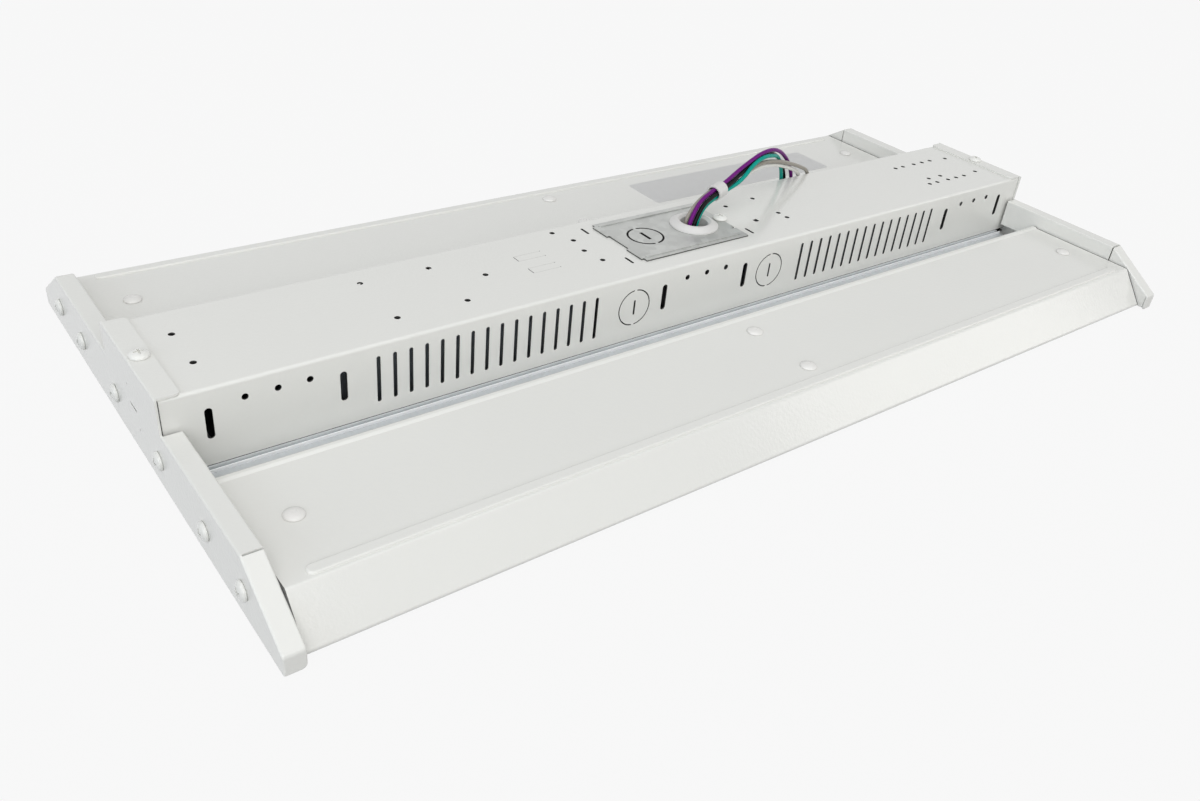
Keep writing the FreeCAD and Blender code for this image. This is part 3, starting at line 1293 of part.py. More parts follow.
def main():
    pieces = [make_housing(), make_access_plate(), make_pan(), make_tray(), make_rail()]
    for label, end in (("left", -1), ("right", 1)):
        pieces.append(make_end_cap(f"end_cap_{label}", end))
        pieces.append(make_face_screws(f"end_cap_screws_{label}", end))
        pieces.append(make_driver(f"driver_{label}", end))
    for label, side in (("near", -1), ("far", 1)):
        pieces.append(make_board(f"light_board_{label}", side))
        pieces.append(make_rivets(f"board_rivets_{label}", side))
        pieces.append(make_lens(f"lens_{label}", side))
    pieces.extend([make_cap_top_screws(), make_plate_screw(), make_rail_screws(), make_driver_screws()])
    pieces.append(make_bushing())
    pieces.extend(make_wire(label) for label in SPREAD)
    pieces.append(make_sleeve())
    document.recompute()
    write_pieces(pieces)


def write_pieces(pieces):
    """Checks every object and writes each piece to a file of its own."""
    for thing in document.Objects:
        if "Invalid" in thing.State or "Error" in thing.State:
            raise RuntimeError(f"{thing.Label} is {thing.State}")
    for piece in pieces:
        if piece.Shape.isNull() or not piece.Shape.isValid():
            raise RuntimeError(f"{piece.Label} has no valid shape")
        if not piece.Shape.Solids:
            raise RuntimeError(f"{piece.Label} has no solid")
    os.makedirs("parts", exist_ok=True)
    for piece in pieces:
        piece.Shape.exportStep(os.path.join("parts", f"{piece.Label}.step"))
        print(piece.Label, "solids", len(piece.Shape.Solids), "volume", round(piece.Shape.Volume, 1))


main()
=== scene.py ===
"""Looks of the linear high bay light: its paint, zinc, fasteners, wires, light boards and stage."""

import math

import bmesh
import bpy
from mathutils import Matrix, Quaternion, Vector


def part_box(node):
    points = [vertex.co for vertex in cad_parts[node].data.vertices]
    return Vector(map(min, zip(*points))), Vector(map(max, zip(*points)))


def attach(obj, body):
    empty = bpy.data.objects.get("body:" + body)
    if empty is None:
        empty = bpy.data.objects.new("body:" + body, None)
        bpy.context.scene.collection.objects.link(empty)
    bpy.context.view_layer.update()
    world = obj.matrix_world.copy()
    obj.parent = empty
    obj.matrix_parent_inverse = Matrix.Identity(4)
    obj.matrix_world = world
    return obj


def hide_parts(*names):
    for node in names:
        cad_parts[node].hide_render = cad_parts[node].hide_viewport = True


bl_info = {
    "name": "Linear high bay light",
    "version": (1, 0, 0),
    "blender": (4, 5, 0),
    "location": "3D View > Sidebar > High bay",
    "description": "Finishes the packed high bay light and sets it on a pale studio floor",
    "category": "Add Mesh",
}

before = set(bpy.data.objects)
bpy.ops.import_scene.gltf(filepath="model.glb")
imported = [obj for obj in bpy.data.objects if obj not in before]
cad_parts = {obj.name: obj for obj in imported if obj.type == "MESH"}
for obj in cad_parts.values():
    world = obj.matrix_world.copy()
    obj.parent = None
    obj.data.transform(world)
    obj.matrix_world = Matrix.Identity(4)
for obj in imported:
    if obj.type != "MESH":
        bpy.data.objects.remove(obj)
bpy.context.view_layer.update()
MM = 0.001
UP, DOWN = Vector((0, 0, 1)), Vector((0, 0, -1))


# Sizes and colours that a user may change

def colour_of(name, description, default):
    return bpy.props.FloatVectorProperty(
        name=name, description=description, subtype="COLOR", size=4,
        min=0.0, max=1.0, default=(*default, 1.0),
    )


def length_of(name, description, default, low, high):
    return bpy.props.FloatProperty(
        name=name, description=description, unit="LENGTH", min=low, max=high, default=default,
    )


def power_of(name, description, default):
    return bpy.props.FloatProperty(
        name=name, description=description, unit="POWER", min=0.0, max=500.0, default=default,
    )


class SheetPaint(bpy.types.PropertyGroup):
    """The white powder coat of the folded sheets and their screws."""

    colour: colour_of("Paint", "Colour of the powder coat", (0.805, 0.805, 0.773))
    roughness: bpy.props.FloatProperty(
        name="Roughness", description="Roughness of the paint, lower is glossier", subtype="FACTOR",
        min=0.05, max=1.0, default=0.15,
    )
    peel_size: length_of("Peel size", "Width of one ripple of the orange peel", 0.0018, 0.0002, 0.02)
    peel_depth: length_of("Peel depth", "Depth of the orange peel", 0.00006, 0.0, 0.001)


class Hardware(bpy.types.PropertyGroup):
    """Screws and push rivets."""

    head: length_of("Screw head", "Diameter of a screw head", 0.0092, 0.004, 0.02)
    head_height: length_of("Head height", "Height of a screw head", 0.0026, 0.001, 0.006)
    shank: length_of("Shank", "Diameter of a screw's shank", 0.004, 0.002, 0.008)
    recess: length_of("Cross recess", "Span of the cross recess", 0.0046, 0.001, 0.008)
    rivet: length_of("Rivet head", "Diameter of a push rivet's head", 0.0094, 0.004, 0.02)
    rivet_height: length_of("Rivet height", "Height of a push rivet's head", 0.002, 0.001, 0.006)


class Insulation(bpy.types.PropertyGroup):
    """The five wires."""

    diameter: length_of("Wire", "Diameter of a wire over its insulation", 0.0026, 0.001, 0.006)
    purple: colour_of("Purple", "Colour of the purple wire", (0.150, 0.005, 0.185))
    black: colour_of("Black", "Colour of the black wire", (0.002, 0.002, 0.003))
    green: colour_of("Green", "Colour of the green wire", (0.0, 0.320, 0.255))
    white: colour_of("White", "Colour of the white wire", (0.760, 0.755, 0.720))
    grey: colour_of("Grey", "Colour of the grey wire", (0.330, 0.305, 0.265))


class Studio(bpy.types.PropertyGroup):
    """Backdrop and lamps."""

    backdrop: colour_of("Backdrop", "Colour of the floor and the backdrop", (0.992, 0.992, 0.992))
    ambient: bpy.props.FloatProperty(
        name="Ambient", description="Strength of the even light from all sides",
        min=0.0, max=4.0, default=0.388,
    )
    overhead: power_of("Overhead", "Power of the large lamp overhead", 13.2)
    side: power_of("Side", "Power of the soft box at the right", 3.2)
    front: power_of("Front", "Power of the lamp in front", 23.4)
    left: power_of("Left", "Power of the cool lamp at the left", 8.6)


# Meshes

def keep(name, mesh, material, replaced=()):
    """Makes a mesh a piece of the light: it rides on the body and has its finish."""
    piece = bpy.data.objects.new(name, mesh)
    bpy.context.scene.collection.objects.link(piece)
    mesh.materials.clear()
    mesh.materials.append(material)
    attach(piece, "root")
    if replaced:
        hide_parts(*replaced)
    return piece


def mesh_from(name, form):
    mesh = bpy.data.meshes.new(name)
    bmesh.ops.remove_doubles(form, verts=form.verts, dist=1e-7)
    bmesh.ops.recalc_face_normals(form, faces=form.faces)
    form.to_mesh(mesh)
    form.free()
    mesh.shade_smooth()
    mesh.set_sharp_from_angle(angle=math.radians(35))
    return mesh


def skin(form, rings):
    """A closed skin over rings of points, given in order, with a face over each end."""
    rings = [[form.verts.new(place) for place in ring] for ring in rings]
    for low, high in zip(rings, rings[1:]):
        for number in range(len(low)):
            follow = (number + 1) % len(low)
            form.faces.new((low[number], low[follow], high[follow], high[number]))
    form.faces.new(rings[0])
    form.faces.new(rings[-1])


def dress(material, *nodes):
    """Gives CAD nodes their finish."""
    for node in nodes:
        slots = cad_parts[node].data.materials
        slots.clear()
        slots.append(material)


# Nodes

def feed(tree, socket, value):
    """Sets a socket to a plain value, or links another node's output to it."""
    if isinstance(value, bpy.types.NodeSocket):
        tree.links.new(value, socket)
    else:
        socket.default_value = value


def add_node(tree, kind, *values, settings=None, **inputs):
    """A node with its settings, and its inputs fed in order or by name."""
    node = tree.nodes.new(kind)
    for name, value in (settings or {}).items():
        setattr(node, name, value)
    for socket, value in zip(node.inputs, values):
        feed(tree, socket, value)
    for name, value in inputs.items():
        feed(tree, node.inputs[name.replace("_", " ")], value)
    return node


def calc(tree, operation, first, second=0.0):
    return add_node(tree, "ShaderNodeMath", first, second, settings={"operation": operation}).outputs[0]


def vectors(tree, operation, *values):
    return add_node(tree, "ShaderNodeVectorMath", *values, settings={"operation": operation}).outputs


def product(tree, *factors):
    """The product of all factors, which for masks is 1 where every one is 1."""
    result = factors[0]
    for factor in factors[1:]:
        result = calc(tree, "MULTIPLY", result, factor)
    return result


# Shader groups

PALE = (0.7, 0.7, 0.7, 1.0)
SURFACE = ("Colour", "Roughness", "Normal")


def new_group(name, outputs, **inputs):
    """A shader node group, the sockets that it is given and puts out, and its place on the object."""
    group = bpy.data.node_groups.new(name, "ShaderNodeTree")
    for label, default in inputs.items():
        kind = {3: "Vector", 4: "Color"}[len(default)] if isinstance(default, tuple) else "Float"
        socket = group.interface.new_socket(
            name=label.replace("_", " "), in_out="INPUT", socket_type="NodeSocket" + kind,
        )
        socket.default_value = default
    for label in outputs:
        kind = {"Colour": "Color", "Normal": "Vector"}.get(label, "Float")
        group.interface.new_socket(name=label, in_out="OUTPUT", socket_type="NodeSocket" + kind)
    given, out = group.nodes.new("NodeGroupInput").outputs, group.nodes.new("NodeGroupOutput").inputs
    return group, given, out, group.nodes.new("ShaderNodeTexCoord").outputs["Object"]


def along_axes(tree, vector):
    """The X, Y and Z of a vector."""
    return add_node(tree, "ShaderNodeSeparateXYZ", vector).outputs


def noise(tree, place, scale, detail=2.0, roughness=0.5):
    texture = add_node(
        tree, "ShaderNodeTexNoise", Vector=place, Scale=scale, Detail=detail, Roughness=roughness,
    )
    return texture.outputs["Fac"]


def spread_to(tree, value, low, high):
    """The value, from 0 to 1, spread between low and high."""
    return add_node(tree, "ShaderNodeMapRange", Value=value, To_Min=low, To_Max=high).outputs["Result"]


def put_out_colour(group, out, colour, factor):
    """Puts out a colour, made lighter or darker by a factor about 1."""
    shaded = add_node(group, "ShaderNodeVectorMath", colour, settings={"operation": "SCALE"}, Scale=factor)
    feed(group, out["Colour"], shaded.outputs[0])


def put_out_surface(group, given, out, tone, tone_range, dulling, height, depth):
    """Puts out the colour, clouded by tone, the roughness times its dulling, and the normal of a relief."""
    low, high = (calc(group, operation, 1.0, tone_range) for operation in ("SUBTRACT", "ADD"))
    put_out_colour(group, out, given["Colour"], spread_to(group, tone, low, high))
    feed(group, out["Roughness"], product(group, given["Roughness"], dulling))
    bump = add_node(group, "ShaderNodeBump", Strength=1.0, Height=height, Distance=depth)
    feed(group, out["Normal"], bump.outputs["Normal"])


def powder_coat_group():
    """Powder coat: soft ripples of orange peel with a fine grain, and faint clouds in tone and gloss."""
    group, given, out, place = new_group(
        "powder_coat", SURFACE, Colour=PALE, Roughness=0.3, Peel_scale=450.0, Peel_depth=0.00003, Clouds=0.02,
    )
    ripple = noise(group, place, scale=given["Peel scale"], detail=1.0)
    grain = noise(group, place, scale=product(group, given["Peel scale"], 3.5), detail=1.0)
    height = calc(group, "ADD", ripple, product(group, grain, 0.25))
    cloud = noise(group, place, scale=9.0, detail=3.0)
    dulling = spread_to(group, noise(group, place, scale=26.0, detail=4.0), 0.88, 1.14)
    put_out_surface(group, given, out, cloud, given["Clouds"], dulling, height, given["Peel depth"])
    return group


def rolled_zinc_group():
    """Galvanised sheet: zinc spangle under fine rolling lines along one axis, with dull smudges."""
    group, given, out, place = new_group(
        "rolled_zinc", SURFACE, Colour=PALE, Roughness=0.4, Spangle_scale=160.0, Spangle=0.2,
        Line_depth=0.00001,
    )
    warp = product(group, noise(group, place, scale=60.0, detail=3.0), 0.006)
    warped = vectors(group, "ADD", place, warp)[0]
    crystals = add_node(group, "ShaderNodeTexVoronoi", Vector=warped, Scale=given["Spangle scale"])
    spangle = add_node(group, "ShaderNodeSeparateColor", crystals.outputs["Color"]).outputs[0]
    smudge = noise(group, place, scale=34.0, detail=5.0, roughness=0.6)
    spangle, smudge = product(group, spangle, 0.55), product(group, smudge, 0.45)
    mixed = calc(group, "ADD", spangle, smudge)
    stretched = add_node(group, "ShaderNodeMapping", Vector=place, Scale=(0.04, 1.0, 1.0))
    lines = noise(group, stretched.outputs[0], scale=1400.0)
    dulling = spread_to(group, mixed, 0.8, 1.25)
    put_out_surface(group, given, out, mixed, given["Spangle"], dulling, lines, given["Line depth"])
    return group


def moulded_plastic_group():
    """Moulded plastic and wire insulation: a fine matt grain, faint flow clouds and small scuffs."""
    group, given, out, place = new_group(
        "moulded_plastic", SURFACE, Colour=PALE, Roughness=0.35, Grain_scale=900.0, Grain_depth=0.00001,
        Scuffs=0.05,
    )
    grain = noise(group, place, scale=given["Grain scale"])
    flow = noise(group, place, scale=120.0, detail=4.0)
    dulling = spread_to(group, noise(group, place, scale=260.0, detail=3.0), 0.8, 1.25)
    put_out_surface(group, given, out, flow, given["Scuffs"], dulling, grain, given["Grain depth"])
    return group


def inside_shade_group():
    """Painted shade: darkens what lies within a folded sheet, the walls of its holes, and all that lies past
    a left edge.
    """
    group, given, out, place = new_group(
        "inside_shade", ("Colour",), Colour=PALE, Tone=0.1, Half_width=0.0369, Top=0.04895, Corner=0.0838,
        Left_edge=-1.0,
    )
    place = along_axes(group, place)
    aside = calc(group, "ABSOLUTE", place["Y"])
    narrow = calc(group, "LESS_THAN", aside, given["Half width"])
    low = calc(group, "LESS_THAN", place["Z"], given["Top"])
    below_bend = calc(group, "LESS_THAN", calc(group, "ADD", aside, place["Z"]), given["Corner"])
    past_left = calc(group, "LESS_THAN", place["X"], given["Left edge"])
    within = calc(group, "MAXIMUM", product(group, narrow, low, below_bend), past_left)
    # The masked parts take a darker colour, as painted shade.
    put_out_colour(group, out, given["Colour"], spread_to(group, within, 1.0, given["Tone"]))
    return group


def pan_zones_group():
    """Bare zinc on the floor of the pan's channel, and a painted shadow line at each end where the pan runs
    under the caps.
    """
    group, given, out, place = new_group(
        "pan_zones", ("Colour", "Metallic"), Colour=PALE, Zinc=PALE, Zinc_below=0.009, Zinc_half_width=0.0645,
        Zinc_metallic=0.35, Edge_from=0.3, Edge_tone=0.1,
    )
    place = along_axes(group, place)
    # A thin dark band past the given reach along x: painted shadow under the caps' edges.
    edge = calc(group, "GREATER_THAN", calc(group, "ABSOLUTE", place["X"]), given["Edge from"])
    low = calc(group, "LESS_THAN", place["Z"], given["Zinc below"])
    narrow = calc(group, "LESS_THAN", calc(group, "ABSOLUTE", place["Y"]), given["Zinc half width"])
    bare = product(group, low, narrow)
    mixed = add_node(group, "ShaderNodeMix", settings={"data_type": "RGBA"}, Factor=bare)
    feed(group, mixed.inputs[6], given["Colour"])
    feed(group, mixed.inputs[7], given["Zinc"])
    put_out_colour(group, out, mixed.outputs[2], spread_to(group, edge, 1.0, given["Edge tone"]))
    feed(group, out["Metallic"], product(group, bare, given["Zinc metallic"]))
    return group


def slit_shade_group():
    """Painted shade in a knockout's cuts: on the walls and a thin rim of its broken ring and of the pry slot
    in its middle.
    """
    group, given, out, place = new_group(
        "slit_shade", ("Colour",), Colour=PALE, Middle=(0.0, 0.0, 0.0), Half_size=(0.001, 0.001, 0.001),
        Ring_radius=0.0, Ring_half_width=0.0, Bridge=0.0012, Tone=0.12,
    )
    offset = vectors(group, "SUBTRACT", place, given["Middle"])[0]
    near = along_axes(group, vectors(group, "ABSOLUTE", offset)[0])
    limit = along_axes(group, given["Half size"])
    slit = product(group, *(calc(group, "LESS_THAN", near[axis], limit[axis]) for axis in "XYZ"))
    flat = vectors(group, "MULTIPLY", offset, (1.0, 1.0, 0.0))[0]
    off_ring = calc(group, "SUBTRACT", vectors(group, "LENGTH", flat)["Value"], given["Ring radius"])
    on_ring = calc(group, "LESS_THAN", calc(group, "ABSOLUTE", off_ring), given["Ring half width"])
    clear = calc(group, "GREATER_THAN", near["X"], given["Bridge"])
    dark = calc(group, "MAXIMUM", slit, product(group, on_ring, clear))
    put_out_colour(group, out, given["Colour"], spread_to(group, dark, 1.0, given["Tone"]))
    return group


GROUPS = {
    "powder_coat": powder_coat_group, "rolled_zinc": rolled_zinc_group,
    "moulded_plastic": moulded_plastic_group, "inside_shade": inside_shade_group,
    "pan_zones": pan_zones_group, "slit_shade": slit_shade_group,
}


# Materials

def set_in(tree, group_name, values):
    """The node group, made once, set in a material with its own values."""
    node = tree.nodes.new("ShaderNodeGroup")
    node.node_tree = bpy.data.node_groups.get(group_name) or GROUPS[group_name]()
    for label, value in values.items():
        node.inputs[label.replace("_", " ")].default_value = value
    return node


def add_zones(material, group_name, **values):
    """Passes the material's colour through a zone group on its way to the shader."""
    tree = material.node_tree
    shader = tree.nodes["Principled BSDF"]
    zones = set_in(tree, group_name, values)
    tree.links.new(shader.inputs["Base Color"].links[0].from_socket, zones.inputs["Colour"])
    tree.links.new(zones.outputs["Colour"], shader.inputs["Base Color"])
    if "Metallic" in zones.outputs:
        tree.links.new(zones.outputs["Metallic"], shader.inputs["Metallic"])


def finish(name, group_name, values, **constants):
    """A material whose shader takes its changing values from a group, and its plain ones as numbers."""
    material = bpy.data.materials.get(name)
    if material:
        return material
    material = bpy.data.materials.new(name)
    material.use_nodes = True
    material.diffuse_color = values["Colour"]
    tree = material.node_tree
    shader = tree.nodes["Principled BSDF"]
    effect = set_in(tree, group_name, values)
    for label, socket in (("Colour", "Base Color"), ("Roughness", "Roughness"), ("Normal", "Normal")):
        tree.links.new(effect.outputs[label], shader.inputs[socket])
    for label, value in constants.items():
        shader.inputs[label.replace("_", " ")].default_value = value
    return material


def paint(name="white_powder_coat", tint=1.0, smoother=1.0):
    settings = bpy.context.scene.sheet_paint
    values = dict(
        Colour=[channel * tint for channel in settings.colour[:3]] + [1.0],
        Roughness=settings.roughness * smoother, Peel_scale=1.0 / settings.peel_size,
        Peel_depth=settings.peel_depth, Clouds=0.012,
    )
    return finish(name, "powder_coat", values, IOR=1.5)


def screw_paint():
    return paint("white_screw_coat", tint=1.04, smoother=0.8)


def zinc(name, colour, roughness, spangle=0.16, lines=0.000006, metallic=0.85):
    values = dict(
        Colour=(*colour, 1.0), Roughness=roughness, Spangle_scale=190.0, Spangle=spangle, Line_depth=lines,
    )
    return finish(name, "rolled_zinc", values, Metallic=metallic)


def plastic(name, colour, roughness=0.35, grain=900.0, depth=0.000008, scuffs=0.04, **constants):
    values = dict(
        Colour=(*colour, 1.0), Roughness=roughness, Grain_scale=grain, Grain_depth=depth, Scuffs=scuffs,
    )
    return finish(name, "moulded_plastic", values, **constants)


# Geometry Nodes

def new_tree(name, sizes):
    """A geometry node tree: a mesh, named sizes and a material in, and a mesh out."""
    tree = bpy.data.node_groups.new(name, "GeometryNodeTree")
    for label in ("Geometry", *sizes, "Material"):
        kind = "Float" if label in sizes else label
        tree.interface.new_socket(name=label, in_out="INPUT", socket_type="NodeSocket" + kind)
    tree.interface.new_socket(name="Geometry", in_out="OUTPUT", socket_type="NodeSocketGeometry")
    return tree, tree.nodes.new("NodeGroupInput").outputs, tree.nodes.new("NodeGroupOutput").inputs


def set_on_seats(tree, given, out, form, rotation):
    """Ends a tree with the form on each seat, made real and given its material."""
    seats = add_node(tree, "GeometryNodeMeshToPoints", Mesh=given["Geometry"])
    spots = add_node(
        tree, "GeometryNodeInstanceOnPoints", Points=seats.outputs[0], Instance=form, Rotation=rotation,
    )
    real = add_node(tree, "GeometryNodeRealizeInstances", spots.outputs[0])
    coated = add_node(tree, "GeometryNodeSetMaterial", Geometry=real.outputs[0], Material=given["Material"])
    feed(tree, out["Geometry"], coated.outputs[0])


def seats_mesh(name, seats):
    """One point for each seat, which stores the way that the head faces and a turn unlike its neighbours'."""
    turn_step, most = 0.83, 1.5
    mesh = bpy.data.meshes.new(name)
    mesh.from_pydata([place for place, facing in seats], [], [])
    mesh.attributes.new("facing", "FLOAT_VECTOR", "POINT")
    mesh.attributes.new("turn", "FLOAT", "POINT")
    for index, (place, facing) in enumerate(seats):
        mesh.attributes["facing"].data[index].vector = facing
        mesh.attributes["turn"].data[index].value = (index * turn_step) % most
    return mesh


def grown(name, tree, seats, values, material, replaced=()):
    """What the tree makes on the seats, kept as one plain mesh."""
    holder = bpy.data.objects.new(name + "_points", seats_mesh(name + "_seats", seats))
    bpy.context.scene.collection.objects.link(holder)
    modifier = holder.modifiers.new("made", "NODES")
    modifier.node_group = tree
    values = {**values, "Material": material}
    for item in tree.interface.items_tree:
        if item.in_out == "INPUT" and item.name in values:
            modifier[item.identifier] = values[item.name]
    bpy.context.view_layer.update()
    graph = bpy.context.evaluated_depsgraph_get()
    mesh = bpy.data.meshes.new_from_object(holder.evaluated_get(graph))
    mesh.name = name
    holder.modifiers.remove(modifier)
    bpy.data.objects.remove(holder)
    if not mesh.polygons:
        raise RuntimeError(f"{name}: the tree made no faces")
    return keep(name, mesh, material, replaced)


def fastener_tree():
    """Turned heads with a crown and a cross recess on tapered shanks, one on each seat."""
    sizes = ("Head", "Height", "Rim", "Shank", "Length", "Recess", "Recess width", "Recess depth")
    tree, given, out = new_tree("fasteners", sizes)

    def times(first, second):
        return calc(tree, "MULTIPLY", first, second)

    # The profile runs up the shank, out along the seat, up the rim and over the crown.
    radius, shank = times(given["Head"], 0.5), times(given["Shank"], 0.5)
    low = times(given["Length"], -1.0)
    tip = calc(tree, "SUBTRACT", low, shank)
    crown = calc(tree, "SUBTRACT", given["Height"], given["Rim"])
    profile = [
        (0.0, tip), (times(shank, 0.25), tip), (shank, low), (shank, 0.0), (times(radius, 0.93), 0.0),
        (radius, times(given["Rim"], 0.25)), (radius, times(given["Rim"], 0.8)),
    ]
    bow = 0.92
    foot = math.sqrt(1 - bow)
    for share in (0.97, 0.86, 0.68, 0.45, 0.22, 0.0):
        rise = (math.sqrt(1 - bow * share ** 2) - foot) / (1 - foot)
        profile.append((times(radius, share), calc(tree, "ADD", given["Rim"], times(crown, rise))))

    # Each ring of the turned form is one row of a grid, wrapped round the axis.
    around = 28
    index = tree.nodes.new("GeometryNodeInputIndex").outputs[0]
    shifted = calc(tree, "ADD", index, 0.5)
    row = calc(tree, "FLOOR", calc(tree, "DIVIDE", shifted, around + 1.0))
    column = calc(tree, "SUBTRACT", index, times(row, around + 1.0))
    picked = []
    for steps in zip(*profile):
        switch = add_node(tree, "GeometryNodeIndexSwitch", settings={"data_type": "FLOAT"})
        while len(switch.index_switch_items) < len(profile):
            switch.index_switch_items.new()
        for socket, step in zip(switch.inputs, (row, *steps)):
            feed(tree, socket, step)
        picked.append(switch.outputs[0])
    outwards, level = picked
    angle = times(column, 2 * math.pi / around)
    x, y = (times(outwards, calc(tree, operation, angle)) for operation in ("COSINE", "SINE"))
    place = add_node(tree, "ShaderNodeCombineXYZ", x, y, level).outputs[0]
    grid = add_node(tree, "GeometryNodeMeshGrid", Vertices_X=len(profile), Vertices_Y=around + 1)
    turned = add_node(tree, "GeometryNodeSetPosition", Geometry=grid.outputs["Mesh"], Position=place)
    closed = add_node(tree, "GeometryNodeMergeByDistance", Geometry=turned.outputs[0], Distance=1e-6)

    # Cross recess with upright walls, cut into the crown.
    cross = tree.nodes.new("GeometryNodeJoinGeometry")
    span, width, height = given["Recess"], given["Recess width"], times(given["Recess depth"], 2.0)
    top = add_node(tree, "ShaderNodeCombineXYZ", Z=given["Height"]).outputs[0]
    for sides in ((span, width), (width, span)):
        size = add_node(tree, "ShaderNodeCombineXYZ", *sides, height)
        bar = add_node(tree, "GeometryNodeMeshCube", Size=size.outputs[0])
        lifted = add_node(tree, "GeometryNodeTransform", Geometry=bar.outputs["Mesh"], Translation=top)
        tree.links.new(lifted.outputs[0], cross.inputs[0])
    cut = add_node(
        tree, "GeometryNodeMeshBoolean", settings={"operation": "DIFFERENCE", "solver": "EXACT"},
        Mesh_1=closed.outputs[0], Mesh_2=cross.outputs[0], Self_Intersection=True,
    )

    # Each head faces the way that its seat does, and has a turn of its own.
    facing = add_node(
        tree, "GeometryNodeInputNamedAttribute", settings={"data_type": "FLOAT_VECTOR"}, Name="facing",
    )
    turn = add_node(tree, "GeometryNodeInputNamedAttribute", settings={"data_type": "FLOAT"}, Name="turn")
    aimed = add_node(
        tree, "FunctionNodeAlignRotationToVector", settings={"axis": "Z"}, Vector=facing.outputs["Attribute"],
    )
    own_turn = add_node(tree, "ShaderNodeCombineXYZ", Z=turn.outputs["Attribute"])
    spun = add_node(
        tree, "FunctionNodeRotateRotation", aimed.outputs[0], own_turn.outputs[0],
        settings={"rotation_space": "LOCAL"},
    )
    set_on_seats(tree, given, out, cut.outputs["Mesh"], spun.outputs[0])
    return tree


# Shares of a head's height and of the cross recess that shape a screw and a push rivet
SCREW = {"rim": 0.4, "span": 1.0, "width": 0.22, "depth": 0.5}
RIVET = {"rim": 0.3, "span": 0.5, "width": 0.5, "depth": 0.08}


def fasteners(name, facings, material, length, kind=SCREW):
    """Screws or push rivets in place of CAD nodes, given with the way that their heads face."""
    hardware = bpy.context.scene.hardware
    head = hardware.rivet if kind is RIVET else hardware.head
    height = hardware.rivet_height if kind is RIVET else hardware.head_height
    seats = [seat for node, facing in facings.items() for seat in seats_of(node, Vector(facing), height)]
    values = {
        "Head": head, "Height": height, "Rim": height * kind["rim"], "Shank": hardware.shank,
        "Length": length, "Recess": hardware.recess * kind["span"],
        "Recess width": hardware.recess * kind["width"], "Recess depth": height * kind["depth"],
    }
    tree = bpy.data.node_groups.get("fasteners") or fastener_tree()
    piece = grown(name, tree, seats, values, material, facings)
    piece.data.shade_smooth()
    piece.data.set_sharp_from_angle(angle=math.radians(40))


def solid_boxes(node):
    """The box of each separate solid of a CAD node, found by the corners that its triangles share."""
    form = bmesh.new()
    form.from_mesh(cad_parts[node].data)
    bmesh.ops.remove_doubles(form, verts=form.verts, dist=1e-6)
    boxes, seen = [], set()
    for first in form.verts:
        if first in seen:
            continue
        found, todo = [], [first]
        seen.add(first)
        while todo:
            vertex = todo.pop()
            found.append(vertex.co.copy())
            for edge in vertex.link_edges:
                other = edge.other_vert(vertex)
                if other not in seen:
                    seen.add(other)
                    todo.append(other)
        low = Vector(min(place[i] for place in found) for i in range(3))
        high = Vector(max(place[i] for place in found) for i in range(3))
        boxes.append((low, high))
    form.free()
    return boxes


def seats_of(node, facing, height):
    """The seats of a node's fasteners: the middle of each, at the foot of its head."""
    axis = max(range(3), key=lambda i: abs(facing[i]))
    seats = []
    for low, high in solid_boxes(node):
        place = (low + high) / 2
        place[axis] = high[axis] - height if facing[axis] > 0 else low[axis] + height
        seats.append((place, facing))
    return seats


def window_tree():
    """A low window with sloping sides on each seat, facing down."""
    tree, given, out = new_tree("diode_windows", ("Diameter", "Height"))
    window = add_node(
        tree, "GeometryNodeMeshCone", Vertices=10, Radius_Bottom=product(tree, given["Diameter"], 0.5),
        Radius_Top=product(tree, given["Diameter"], 0.38), Depth=given["Height"],
    )
    aimed = add_node(tree, "FunctionNodeAlignRotationToVector", settings={"axis": "Z"}, Vector=tuple(DOWN))
    set_on_seats(tree, given, out, window.outputs["Mesh"], aimed.outputs[0])
    return tree


# Wires

